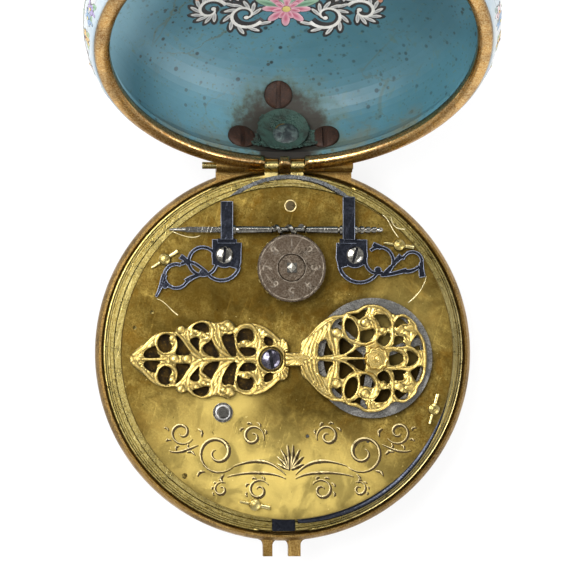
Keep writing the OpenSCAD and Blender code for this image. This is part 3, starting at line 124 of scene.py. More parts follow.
class BowlSkin:
    """Wraps a flat drawing round the bowl: its middle is the crown, and it runs along the wall."""

    def __init__(self, radius_at, crown, rim, side, steps=240):
        self.rows = []
        self.side = side
        self.reach, last = 0.0, None
        for i in range(steps + 1):
            depth = rim + (crown - rim) * math.sin(math.pi / 2 * (1 - i / steps))
            radius = radius_at(depth) if i else 0.0
            if last:
                self.reach += math.hypot(radius - last[0], depth - last[1])
            self.rows.append((self.reach, radius, depth))
            last = (radius, depth)
        self.runs = [row[0] for row in self.rows]

    def place(self, x, y, lift):
        """The point of the wall under x, y of the drawing, lifted off it."""
        run, turn = min(math.hypot(x, y), self.reach), math.atan2(x, y)
        high = min(bisect.bisect_right(self.runs, run), len(self.rows) - 1)
        (run_a, radius_a, depth_a), (run_b, radius_b, depth_b) = self.rows[high - 1:high + 1]
        step = max(run_b - run_a, TINY)
        t = (run - run_a) / step
        across, along = (depth_a - depth_b) / step, (radius_b - radius_a) / step
        radius = radius_a + (radius_b - radius_a) * t + across * lift * self.side
        depth = depth_a + (depth_b - depth_a) * t + along * lift * self.side
        x, y = clock(radius, turn)
        return opened(x, y, HINGE_Z + depth)


def outside_skin():
    return BowlSkin(outer_radius, 12.6, -0.15, 1)


def inside_skin():
    return BowlSkin(inner_radius, 11.5, 0.9, -1)


def flat(z, facing=1, middle=(0, 0)):
    """A flat face at height z: facing 1 looks up and -1 looks down."""
    return lambda x, y, lift: (middle[0] + x, middle[1] + y, z + lift * facing)


# Lines and shapes

def polar(r, a):
    """The point at distance r and angle a from +X, in radians."""
    return r * math.cos(a), r * math.sin(a)


def clock(r, a):
    """The point at distance r and angle a from +Y, clockwise, in radians."""
    return r * math.sin(a), r * math.cos(a)


def turned(x, y, a):
    """A point turned about the middle by the angle a, in radians."""
    c, s = math.cos(a), math.sin(a)
    return x * c - y * s, x * s + y * c


def round_angles(count):
    return [2 * math.pi * i / count for i in range(count)]


def spiral(cx, cy, r0, r1, a0, a1, n=14):
    """Points from angle a0 to a1, in degrees, as the radius goes from r0 to r1."""
    points = []
    for i in range(n + 1):
        x, y = polar(r0 + (r1 - r0) * i / n, math.radians(a0 + (a1 - a0) * i / n))
        points.append((cx + x, cy + y))
    return points


def arc(cx, cy, r, a0, a1, n=10):
    return spiral(cx, cy, r, r, a0, a1, n)


def curve(x0, y0, x1, y1, x2, y2, x3, y3, n=8):
    """Points of the curve that leaves the first point towards the second, and ends at the last."""
    points = []
    for i in range(n + 1):
        t = i / n
        s = 1 - t
        k = (s ** 3, 3 * s * s * t, 3 * s * t * t, t ** 3)
        points.append((k[0] * x0 + k[1] * x1 + k[2] * x2 + k[3] * x3,
                       k[0] * y0 + k[1] * y1 + k[2] * y2 + k[3] * y3))
    return points


def mix(a, b, share):
    return tuple(x + (y - x) * share for x, y in zip(a, b))


def outward(mesh):
    """Turns every face of closed shells to point outwards."""
    shape = bmesh.new()
    shape.from_mesh(mesh)
    bmesh.ops.recalc_face_normals(shape, faces=shape.faces)
    shape.to_mesh(mesh)
    shape.free()


def new_object(name, data):
    obj = bpy.data.objects.new(name, data)
    bpy.context.collection.objects.link(obj)
    return obj


def loose_object(name, verts, faces=(), edges=()):
    """An object that a tree starts from, given in millimetres."""
    mesh = bpy.data.meshes.new(name)
    mesh.from_pydata([[c * MM for c in v] for v in verts], list(edges), list(faces))
    return new_object(name, mesh)


class Sheet:
    """Gathers vertices, faces and a colour for each vertex, in millimetres, for one mesh."""

    def __init__(self):
        self.verts, self.faces, self.tints = [], [], []

    def add(self, verts, faces, tints=None):
        base = len(self.verts)
        self.verts += verts
        self.faces += [[base + i for i in face] for face in faces]
        self.tints += tints or [WHITE] * len(verts)

    def rings(self, rings, tints=None, close_start=True):
        """Joins closed rings of points into a skin, and fills its ends."""
        count, last = len(rings[0]), len(rings) - 1
        faces = []
        for i in range(last):
            for j in range(count):
                k = (j + 1) % count
                faces.append([i * count + j, i * count + k, (i + 1) * count + k, (i + 1) * count + j])
        if close_start:
            faces.append(list(range(count - 1, -1, -1)))
        faces.append([last * count + j for j in range(count)])
        self.add([p for ring in rings for p in ring], faces,
                 [tint for ring, tint in zip(rings, tints or [WHITE] * len(rings)) for _ in ring])

    def prism(self, outline, levels):
        """A solid that stands on an outline, from level to level."""
        self.rings([[(x, y, z) for x, y in outline] for z in levels])

    def blob(self, surface, outline, middle, height, edge_tint, middle_tint, sink=SINK):
        """A low cushion over an outline on a surface, highest at its middle."""
        rings, tints = [], []
        for share, lift in ((1.0, -sink), (1.0, height * 0.35), (0.82, height * 0.8),
                            (0.5, height), (0.16, height)):
            rings.append([surface(*mix(middle, point, share), lift) for point in outline])
            tints.append(mix(middle_tint, edge_tint, share))
        self.rings(rings, tints)

    def stroke(self, surface, points, w0, w1, height, tint=WHITE, groove=0.0):
        """A raised line along points, with a cut down its middle where groove is more than 0."""
        last = len(points) - 1
        flank = [(0.94, height * 0.4), (0.6, height), (0.22, height * 0.95)]
        section = [(1, -SINK), *flank, (0, height * (1 - groove)),
                   *((-s, lift) for s, lift in reversed(flank)), (-1, -SINK)]
        rings = []
        for i, (x, y) in enumerate(points):
            ax, ay = points[max(i - 1, 0)]
            bx, by = points[min(i + 1, last)]
            run = math.hypot(bx - ax, by - ay) or 1.0
            nx, ny = -(by - ay) / run, (bx - ax) / run
            half = (w0 + (w1 - w0) * i / last) / 2
            rings.append([surface(x + nx * half * s, y + ny * half * s, lift) for s, lift in section])
        self.rings(rings, [tint] * len(rings))

    def finish(self, name, material, body, slot, smooth=True):
        """Makes the object: its place is in its mesh, and it rides on a body."""
        mesh = bpy.data.meshes.new(name)
        mesh.from_pydata([[c * MM for c in v] for v in self.verts], [], self.faces)
        colours = mesh.color_attributes.new("tint", "FLOAT_COLOR", "POINT")
        for i, tint in enumerate(self.tints):
            colours.data[i].color = (*tint, 1.0)
        mesh.validate()
        outward(mesh)
        for polygon in mesh.polygons:
            polygon.use_smooth = smooth
        obj = new_object(name, mesh)
        mesh.materials.append(material)
        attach(obj, body)


def petal(sheet, surface, place, turn, length, width, height, edge, heart, tip=0.0, n=14):
    """An egg-shaped petal that starts at place and points along turn, in degrees. tip points its end."""
    x, y = place
    outline = []
    for a in round_angles(n):
        share = (1 - math.cos(a)) / 2
        swell = (0.62 + 0.38 * share) * (1 - tip) + tip * abs(math.sin(a)) ** 0.7
        dx, dy = turned(length * share, width / 2 * math.sin(a) * swell, math.radians(turn))
        outline.append((x + dx, y + dy))
    dx, dy = polar(length * 0.55, math.radians(turn))
    sheet.blob(surface, outline, (x + dx, y + dy), height, edge, heart)


def boss(sheet, surface, place, r, height, tint, n=12):
    """A round dome."""
    sheet.blob(surface, arc(*place, r, 0, 360 - 360 / n, n - 1), place, height, tint, tint)


# Nodes

def join(tree, value, socket):
    """Gives a socket a value, or links a node's first output or another socket to it."""
    if isinstance(value, bpy.types.Node):
        value = value.outputs[0]
    if isinstance(value, bpy.types.NodeSocket):
        tree.links.new(value, socket)
    else:
        socket.default_value = value


def add_node(tree, kind, inputs=None, **settings):
    """Adds a node with its own settings and with what goes into its inputs."""
    made = tree.nodes.new(kind)
    for key, value in settings.items():
        setattr(made, key, value)
    for key, value in (inputs or {}).items():
        join(tree, value, made.inputs[key])
    return made


def new_group(name, kind, inputs, outputs):
    """A node group with named ends: its tree, what comes in and what goes out."""
    tree = bpy.data.node_groups.new(name, kind)
    for ends, way in ((inputs, "INPUT"), (outputs, "OUTPUT")):
        for label, sort, *default in ends:
            socket = tree.interface.new_socket(label, in_out=way, socket_type="NodeSocket" + sort)
            if default:
                socket.default_value = default[0]
    return tree, tree.nodes.new("NodeGroupInput").outputs, tree.nodes.new("NodeGroupOutput").inputs


def calculate(tree, operation, a, b):
    return add_node(tree, "ShaderNodeMath", {0: a, 1: b}, operation=operation).outputs[0]


def span(tree, value, low, high, to_low=0.0, to_high=1.0):
    """Goes softly from to_low to to_high as a value goes from low to high."""
    made = add_node(tree, "ShaderNodeMapRange", {"Value": value, "From Min": low, "From Max": high,
                                                 "To Min": to_low, "To Max": to_high},
                    interpolation_type="SMOOTHSTEP")
    return made.outputs[0]


def noise(tree, vector, scale, detail=4.0, roughness=0.55, distortion=0.0):
    made = add_node(tree, "ShaderNodeTexNoise", {"Vector": vector, "Scale": scale, "Detail": detail,
                                                 "Roughness": roughness, "Distortion": distortion})
    return made.outputs["Fac"]


def make_tarnish_group():
    """Cloudy patches and fine grain, as on old metal."""
    tree, inside, outside = new_group(
        "tarnish", "ShaderNodeTree",
        [("Vector", "Vector"), ("Patch Scale", "Float", 250.0), ("Low", "Float", 0.35),
         ("High", "Float", 0.65)],
        [("Patches", "Float"), ("Grain", "Float")])
    patches = noise(tree, inside["Vector"], inside["Patch Scale"], 6.0, 0.62, 0.6)
    join(tree, span(tree, patches, inside["Low"], inside["High"]), outside["Patches"])
    join(tree, noise(tree, inside["Vector"], 6000.0, 3.0), outside["Grain"])
    return tree


def make_scratch_group():
    """Hair scratches that run two ways, as heights and as a mask."""
    tree, inside, outside = new_group(
        "scratches", "ShaderNodeTree",
        [("Vector", "Vector"), ("Scale", "Float", 900.0), ("Turn", "Float", 0.6)],
        [("Mask", "Float"), ("Height", "Float")])
    masks = []
    for extra, stretch in ((0.0, 0.05), (1.25, 0.035)):
        angle = calculate(tree, "ADD", inside["Turn"], extra)
        turn = add_node(tree, "ShaderNodeVectorRotate", {"Vector": inside["Vector"], "Angle": angle},
                        rotation_type="Z_AXIS")
        drawn = add_node(tree, "ShaderNodeMapping", {"Vector": turn, "Scale": (stretch, 1.0, 1.0)})
        masks.append(span(tree, noise(tree, drawn, inside["Scale"], 2.0, 0.5, 0.3), 0.62, 0.7))
    both = calculate(tree, "MAXIMUM", *masks)
    join(tree, both, outside["Mask"])
    join(tree, calculate(tree, "SUBTRACT", 1.0, both), outside["Height"])
    return tree


def make_near_group():
    """1 near a place and 0 away from it, with a ragged edge."""
    tree, inside, outside = new_group(
        "near_place", "ShaderNodeTree",
        [("Vector", "Vector"), ("Place", "Vector"), ("Stretch", "Vector", (1.0, 1.0, 1.0)),
         ("Inner", "Float", 0.004), ("Outer", "Float", 0.008), ("Ragged", "Float", 0.002)],
        [("Mask", "Float")])
    away = inside["Vector"]
    for operation, other in (("SUBTRACT", inside["Place"]), ("MULTIPLY", inside["Stretch"])):
        away = add_node(tree, "ShaderNodeVectorMath", {0: away, 1: other}, operation=operation)
    length = add_node(tree, "ShaderNodeVectorMath", {0: away}, operation="LENGTH").outputs["Value"]
    wobble = calculate(tree, "SUBTRACT", noise(tree, inside["Vector"], 700.0, 5.0, 0.65), 0.5)
    shifted = calculate(tree, "ADD", length, calculate(tree, "MULTIPLY", wobble, inside["Ragged"]))
    join(tree, span(tree, shifted, inside["Inner"], inside["Outer"], 1.0, 0.0), outside["Mask"])
    return tree


GROUPS = {"tarnish": make_tarnish_group, "scratches": make_scratch_group, "near_place": make_near_group}


def linear(hex_colour):
    """A screen colour such as "c8a040" as linear values."""
    channels = [int(hex_colour[i:i + 2], 16) / 255 for i in (0, 2, 4)]
    return tuple(c / 12.92 if c <= 0.04045 else ((c + 0.055) / 1.055) ** 2.4 for c in channels)


def rgba(value):
    """Four linear values of a screen colour or of three linear values. Anything else stays as it is."""
    if isinstance(value, str):
        value = linear(value)
    return (*value, 1.0) if isinstance(value, tuple) else value


class Finish:
    """A material under construction. base is its colour so far, and each layer goes over the last."""

    def __init__(self, name, metallic=0.0, roughness=0.4, **values):
        self.material = bpy.data.materials.new(name)
        self.material.use_nodes = True
        self.tree = self.material.node_tree
        self.shader = self.tree.nodes["Principled BSDF"]
        self.where = self.tree.nodes.new("ShaderNodeTexCoord").outputs["Object"]
        for key, value in {"Metallic": metallic, "Roughness": roughness, **values}.items():
            self.shader.inputs[key.replace("_", " ")].default_value = value

    def use(self, name, **values):
        """Places a shared group, with its own values."""
        made = self.tree.nodes.new("ShaderNodeGroup")
        made.node_tree = bpy.data.node_groups.get(name) or GROUPS[name]()
        for key, value in {"Vector": self.where, **values}.items():
            join(self.tree, value, made.inputs[key.replace("_", " ")])
        return made.outputs

    def near(self, place_mm, inner, outer, ragged=2.0, stretch=(1, 1, 1)):
        """A mask that is 1 within the inner distance of a place, and 0 past the outer one."""
        return self.use("near_place", Inner=inner * MM, Outer=outer * MM, Ragged=ragged * MM,
                        Place=[c * MM for c in place_mm], Stretch=stretch)["Mask"]

    def noise(self, scale, *values):
        return noise(self.tree, self.where, scale, *values)

    def span(self, value, *limits):
        return span(self.tree, value, *limits)

    def times(self, a, b):
        return calculate(self.tree, "MULTIPLY", a, b)

    def tint(self):
        """The colour that each vertex has of its own."""
        return add_node(self.tree, "ShaderNodeVertexColor", layer_name="tint").outputs["Color"]

    def cells(self, scale, feature="F1", vector=None):
        return add_node(self.tree, "ShaderNodeTexVoronoi", {"Scale": scale, "Vector": vector or self.where},
                        feature=feature).outputs["Distance"]

    def colour(self, value):
        self.base = value
        join(self.tree, value, self.shader.inputs["Base Color"])

    def mix(self, factor, a, b, mode="MIX"):
        """Makes the colour so far from two colours."""
        made = add_node(self.tree, "ShaderNodeMix", data_type="RGBA", blend_type=mode)
        for socket, value in zip([s for s in made.inputs if s.enabled], (factor, a, b)):
            join(self.tree, rgba(value), socket)
        self.colour([s for s in made.outputs if s.enabled][0])

    def lay(self, mask, depth, colour):
        """Lays a colour over the one so far, depth deep where the mask is 1."""
        self.mix(self.times(mask, depth), self.base, colour)

    def strew(self, cloud, low, high, to_low, to_high, colour):
        """Lays a colour to_low deep where a noise is under low, and to_high deep where it is over high."""
        self.mix(self.span(cloud, low, high, to_low, to_high), self.base, colour)

    def shade_tint(self):
        """Darkens the colour so far by each vertex's own painted shade."""
        self.mix(1.0, self.base, self.tint(), "MULTIPLY")

    def rough(self, value):
        join(self.tree, value, self.shader.inputs["Roughness"])

    def bump(self, height, strength, distance_mm):
        """Raises the surface by a height, over the bumps that it has already."""
        made = add_node(self.tree, "ShaderNodeBump", {"Strength": strength, "Distance": distance_mm * MM,
                                                      "Height": height})
        normal = self.shader.inputs["Normal"]
        if normal.is_linked:
            join(self.tree, normal.links[0].from_socket, made.inputs["Normal"])
        join(self.tree, made, normal)


def old_metal(name, dark, body, bright, patch=250.0, low=0.35, high=0.65, rough=(0.25, 0.5),
              scratch=0.35, turn=0.6, scratch_scale=900.0):
    """Metal with cloudy tarnish, fine grain and hair scratches."""
    made = Finish(name, metallic=1.0)
    tarnish = made.use("tarnish", Patch_Scale=patch, Low=low, High=high)
    scratches = made.use("scratches", Scale=scratch_scale, Turn=turn)
    made.mix(tarnish["Patches"], dark, body)
    made.strew(tarnish["Grain"], 0.3, 0.7, 0.0, 0.5, bright)
    made.lay(scratches["Mask"], scratch, bright)
    made.rough(made.span(tarnish["Patches"], 0.0, 1.0, rough[1], rough[0]))
    made.bump(scratches["Height"], 0.25, 0.01)
    made.bump(tarnish["Grain"], 0.15, 0.008)
    return made


def dress(names, material):
    """Puts one material on CAD nodes."""
    for name in names:
        slots = NODES[name].material_slots
        if not slots:
            NODES[name].data.materials.append(material)
        for slot in slots:
            slot.material = material


def plain_metals(rows):
    """Gives the nodes of each row an old metal of its name, colours and values."""
    for name, dark, body, bright, values, nodes in rows:
        dress(nodes, old_metal(name, dark, body, bright, **values).material)


# Settings

def colour_property(name, description, hex_colour):
    return bpy.props.FloatVectorProperty(
        name=name, description=description, subtype="COLOR", size=3, min=0.0, max=1.0,
        default=linear(hex_colour))


def length_property(name, description, length_mm, least_mm):
    return bpy.props.FloatProperty(
        name=name, description=description, default=length_mm * MM, min=least_mm * MM,
        unit="LENGTH", precision=5)


class WatchColours(bpy.types.PropertyGroup):
    """Colours of the watch's metals and enamels."""
    gilding: colour_property("Gilding", "Fire gilding of the top plate", "7c662c")
    bezel: colour_property("Bezel", "Copper-brown gilding of the bezel", "8f6a30")
    steel: colour_property("Steel", "Polished steel of the worm and the arbors", "858178")
    blued: colour_property("Blued steel", "Heat-blued scrolls and springs", "343741")
    inside: colour_property("Inside enamel", "Turquoise enamel in the hollow of the bowl", "6ea9c0")
    outside: colour_property("Outside enamel", "White ground of the painted outside", "bcbeba")
    rust: colour_property("Rust", "Rust on the screws of the pendant", "5a3320")
    verdigris: colour_property("Verdigris", "Green crust on the pendant's plate", "5f8d80")


class WatchSizes(bpy.types.PropertyGroup):
    """Sizes and counts of the watch's decoration."""
    relief: length_property("Cock relief", "Height of the chased relief on the cock", 0.14, 0)
    relief_pitch: length_property(
        "Relief pitch", "Spacing of the points that shape the cock's relief", 0.075, 0.05)
    engraving: length_property("Engraved line", "Width of the lines engraved on the top plate", 0.16, 0)
    link_pitch: length_property("Chain pitch", "Length of one link of the fusee chain", 0.62, 0.1)
    flower_count: bpy.props.IntProperty(
        name="Flowers", description="Large flowers round the outside of the bowl",
        default=11, min=3, max=20)
    seed: bpy.props.IntProperty(
        name="Seed", description="Fixed start of everything that is strewn at random", default=7)


class WatchOperator(bpy.types.Operator):
    """Shared by the operators that finish the watch."""
    bl_options = {"REGISTER", "UNDO"}

    def paint(self, key):
        """One of the watch's colours."""
        return tuple(getattr(bpy.context.scene.watch_colours, key))

    @property
    def sizes(self):
        return bpy.context.scene.watch_sizes


# Metals and glass

BRASS = (
    ("gilt_cock", "4c3b18", "7a6430", "b39c5c", {"patch": 420.0, "rough": (0.3, 0.42), "scratch": 0.15},
     ["balance_cock"]),
    ("wheel_brass", "6e5c28", "a8934e", "d8c88c", {"patch": 320.0, "rough": (0.22, 0.4), "scratch": 0.3},
     ["great_wheel", "fusee", "barrel_drum", "barrel_cap", "second_wheel", "contrate_wheel", "crown_wheel",
      "hour_wheel", "setup_wheel", "pillars"]),
    ("pin_brass", "8f7c40", "c4b374", "efe3b0", {"patch": 900.0, "rough": (0.2, 0.32), "scratch": 0.1},
     ["pillar_pins", "dial_pins", "hinge_pin"]),
    ("gold_rim", "7a5428", "b08a50", "dcc088",
     {"patch": 260.0, "rough": (0.24, 0.44), "scratch": 0.4, "turn": 1.0, "scratch_scale": 4200.0},
     ["bowl_rim", "pendant", "bow"]),
)
STEEL = (
    ("violet_steel", "252229", "4c4858", "8b8894",
     {"patch": 1100.0, "rough": (0.16, 0.3), "scratch": 0.4, "scratch_scale": 5200.0}, ["cock_screw"]),
    ("grey_steel", "57544c", "8f8c84", "cfcdc4",
     {"patch": 900.0, "rough": (0.2, 0.34), "scratch": 0.4, "scratch_scale": 5200.0}, ["winding_collar"]),
    ("balance_steel", (0.05, 0.045, 0.04), (0.2, 0.195, 0.18), "b4b2ac",
     {"patch": 500.0, "rough": (0.25, 0.45), "scratch": 0.4}, ["balance_wheel"]),
    ("chain_steel", "3c3c3c", "66686a", "b8babb",
     {"patch": 900.0, "rough": (0.22, 0.36), "scratch": 0.2}, ["fusee_chain"]),
    ("silvered_brass", "2e251c", "5a4b3d", "83786a",
     {"patch": 520.0, "low": 0.36, "high": 0.66, "rough": (0.3, 0.46), "scratch": 0.6, "turn": 0.9,
      "scratch_scale": 4600.0}, ["setup_disc"]),
)
SOOT_AND_SHADE, UMBER, HIGHLIGHT_GILT = "261d0e", "44340f", "c9b264"
# Painted light and stains on the top plate: painted shade, partly tarnish, round the cock's foot, painted
# shade under the table, a darker upper part and a paler lower part painted as the plate's reflection, and a
# dark place at the fusee's middle: x, y, inner and outer reach, raggedness, stretch, depth, colour
PLATE_LIGHT_SHADE_AND_STAINS = (
    # Painted shade round the cock's foot, partly tarnish
    (-8.2, COCK_Y, 2.6, 5.4, 3.0, (0.5, 1, 1), 0.55, UMBER),
    # Painted shade under the balance's table
    (8.8, -0.55, 5.8, 7.0, 1.0, (1, 1, 1), 0.9, SOOT_AND_SHADE),
    # Painted shade: the darker upper and middle part of the plate's painted reflection
    (0.3, 9.5, 4.2, 7.5, 4.0, (0.9, 1, 1), 0.6, UMBER),
    (-9, 8.5, 1.5, 5.0, 3.0, (0.8, 1, 1), 0.6, UMBER),
    (10, 8.5, 1.5, 5.0, 3.0, (0.8, 1, 1), 0.5, UMBER),
    (-9, 4, 2.0, 5.5, 4.0, (0.6, 1, 1), 0.6, UMBER),
    (1, -4.4, 1.5, 4.0, 3.0, (0.4, 1, 1), 0.6, UMBER),
    (*FUSEE, 0.6, 1.2, 0.5, (1, 1, 1), 0.6, SOOT_AND_SHADE),
    # Painted highlights: the paler lower and side parts of the plate's painted reflection
    (-6.3, -4.9, 1.4, 3.4, 1.0, (0.8, 1.1, 1), 0.55, HIGHLIGHT_GILT),
    (12, 3.5, 1.0, 6.5, 1.0, (1, 1, 1), 0.3, HIGHLIGHT_GILT),
    (-8, -10, 1.0, 9.0, 1.0, (0.8, 1, 1), 0.5, HIGHLIGHT_GILT),
    (1, -14, 1.5, 8.5, 1.0, (0.5, 1, 1), 0.75, HIGHLIGHT_GILT),
)


class WATCH_OT_gilding(WatchOperator):
    """Gilds the plates, wheels, pillars and case metals"""
    bl_idname = "watch.gilding"
    bl_label = "Gild Brass Parts"

    def execute(self, context):
        self.top_plate()
        self.pillar_plate()
        plain_metals(BRASS)
        brown = self.paint("bezel")
        bright = mix(linear("b8952c"), (1.0, 0.86, 0.45), 0.45)
        bezel = old_metal("copper_brown_gilt", mix(brown, linear("3c2410"), 0.8), brown,
                          mix(brown, bright, 0.45), patch=210.0, low=0.36, high=0.66,
                          rough=(0.28, 0.5), scratch=0.4, turn=0.2, scratch_scale=4200.0)
        dress(["bezel_ring"], bezel.material)
        self.prong_roots(bezel.material)
        shell = old_metal("shell_metal", (0.05, 0.02, 0.01), (0.18, 0.09, 0.04), brown, patch=300.0)
        dress(["bowl_shell"], shell.material)
        return {"FINISHED"}

    def top_plate(self):
        """Old gilding: mottled and stained, with a painted reflection that is paler below and darker above,
        painted shade round the cock's foot and under its table, and darker towards the edge.
        """
        plate = old_metal("gilt_plate", "51401a", self.paint("gilding"), "a08a48", patch=300.0, low=0.3,
                          high=0.7, rough=(0.3, 0.5), scratch=0.3, scratch_scale=5200.0)
        plate.strew(plate.noise(130.0, 9.0, 0.72, 0.3), 0.45, 0.75, 0.0, 0.5, UMBER)
        mottle = plate.noise(900.0, 6.0, 0.72, 0.4)
        plate.strew(mottle, 0.46, 0.64, 0.0, 0.5, "5a3f10")
        plate.strew(mottle, 0.3, 0.44, 0.5, 0.0, "c2a75a")
        stains = plate.noise(330.0, 9.0, 0.74, 0.6)
        plate.strew(stains, 0.5, 0.62, 0.0, 0.5, "6a4a10")
        plate.strew(stains, 0.34, 0.46, 0.4, 0.0, "b79c4e")
        plate.strew(plate.noise(3800.0, 4.0, 0.65), 0.5, 0.7, 0.0, 0.45, "4a360e")
        # Painted shade and highlights of the plate's reflection, the cock's painted shadow, and tarnish
        for x, y, inner, outer, ragged, stretch, depth, colour in PLATE_LIGHT_SHADE_AND_STAINS:
            plate.lay(plate.near((x, y, PLATE_TOP), inner, outer, ragged, stretch), depth, colour)
        rim = plate.near((0, 0, PLATE_TOP), 15.8, 18.2, 3.0, (1, 1, 0))
        plate.lay(calculate(plate.tree, "SUBTRACT", 1.0, rim), 0.5, UMBER)
        plate.strew(plate.noise(1900.0, 2.0), 0.72, 0.78, 0.0, 0.6, SOOT_AND_SHADE)
        plate.strew(plate.noise(2600.0, 2.0), 0.72, 0.8, 0.0, 0.5, "f0dc90")
        dress(["top_plate"], plate.material)

    def pillar_plate(self):
        """The plate under the dial's side, with painted light on its ledge at the right and lower right,
        paler places at the hinge, and its thin outer edge in the bezel.
        """
        plate = old_metal("gilt_low_plate", "7d6a2c", "ab9750", "d6c88a", patch=700.0,
                          rough=(0.26, 0.4), scratch_scale=4200.0)
        # Painted light brightening the ledge at the right and lower right, and paler places at the hinge
        for place, inner, outer, ragged, depth, colour in (
                ((13.5, -12.5, 7.3), 4.0, 11.0, 2.0, 0.6, "e2d296"),
                ((18.4, -1.0, 7.4), 4.0, 12.0, 2.0, 0.55, "e0cf92"),
                ((-1.4, HINGE_Y, HINGE_Z), 1.3, 2.2, 0.3, 0.7, "e6d08a"),
                ((1.4, HINGE_Y, HINGE_Z), 1.3, 2.2, 0.3, 0.7, "e6d08a")):
            plate.lay(plate.near(place, inner, outer, ragged), depth, colour)
        plate.strew(plate.noise(1500.0, 3.0), 0.62, 0.68, 0.0, 0.7, "4a3a18")
        dress(["pillar_plate", "stop_block", "potence", "counter_potence"], plate.material)
        sheet = Sheet()
        profile = [(18.8, 7.36), (19.14, 7.4), (19.14, 7.47), (18.8, 7.51)]
        for start, stop in ((-82, 68), (112, 262)):
            turns = [math.radians(start + (stop - start) * i / 72) for i in range(73)]
            sheet.rings([[(*polar(r, a), z) for r, z in profile] for a in turns])
        sheet.finish("edge_flange", plate.material, "movement", "gilt_brass")

    def prong_roots(self, material):
        """The rounded corners where the two prongs grow out of the bezel."""
        sheet, bezel_radius, corner = Sheet(), 20, 0.45
        for x, side in ((-2.15, -1), (-1.15, 1), (0.55, -1), (1.85, 1)):
            y = -math.sqrt(bezel_radius ** 2 - x * x)
            outline = [(x - side * 0.1, y + 0.5), (x - side * 0.1, y - 0.75)]
            outline += [(x + side * corner * (1 - math.cos(a)), y - 0.7 * (1 - math.sin(a)))
                        for a in round_angles(32)[:9]]
            outline.append((x + side * corner, y + 0.5))
            sheet.prism(outline, (5.35, 6.3))
        sheet.finish("prong_roots", material, "case", "copper_brown_gilt", smooth=False)


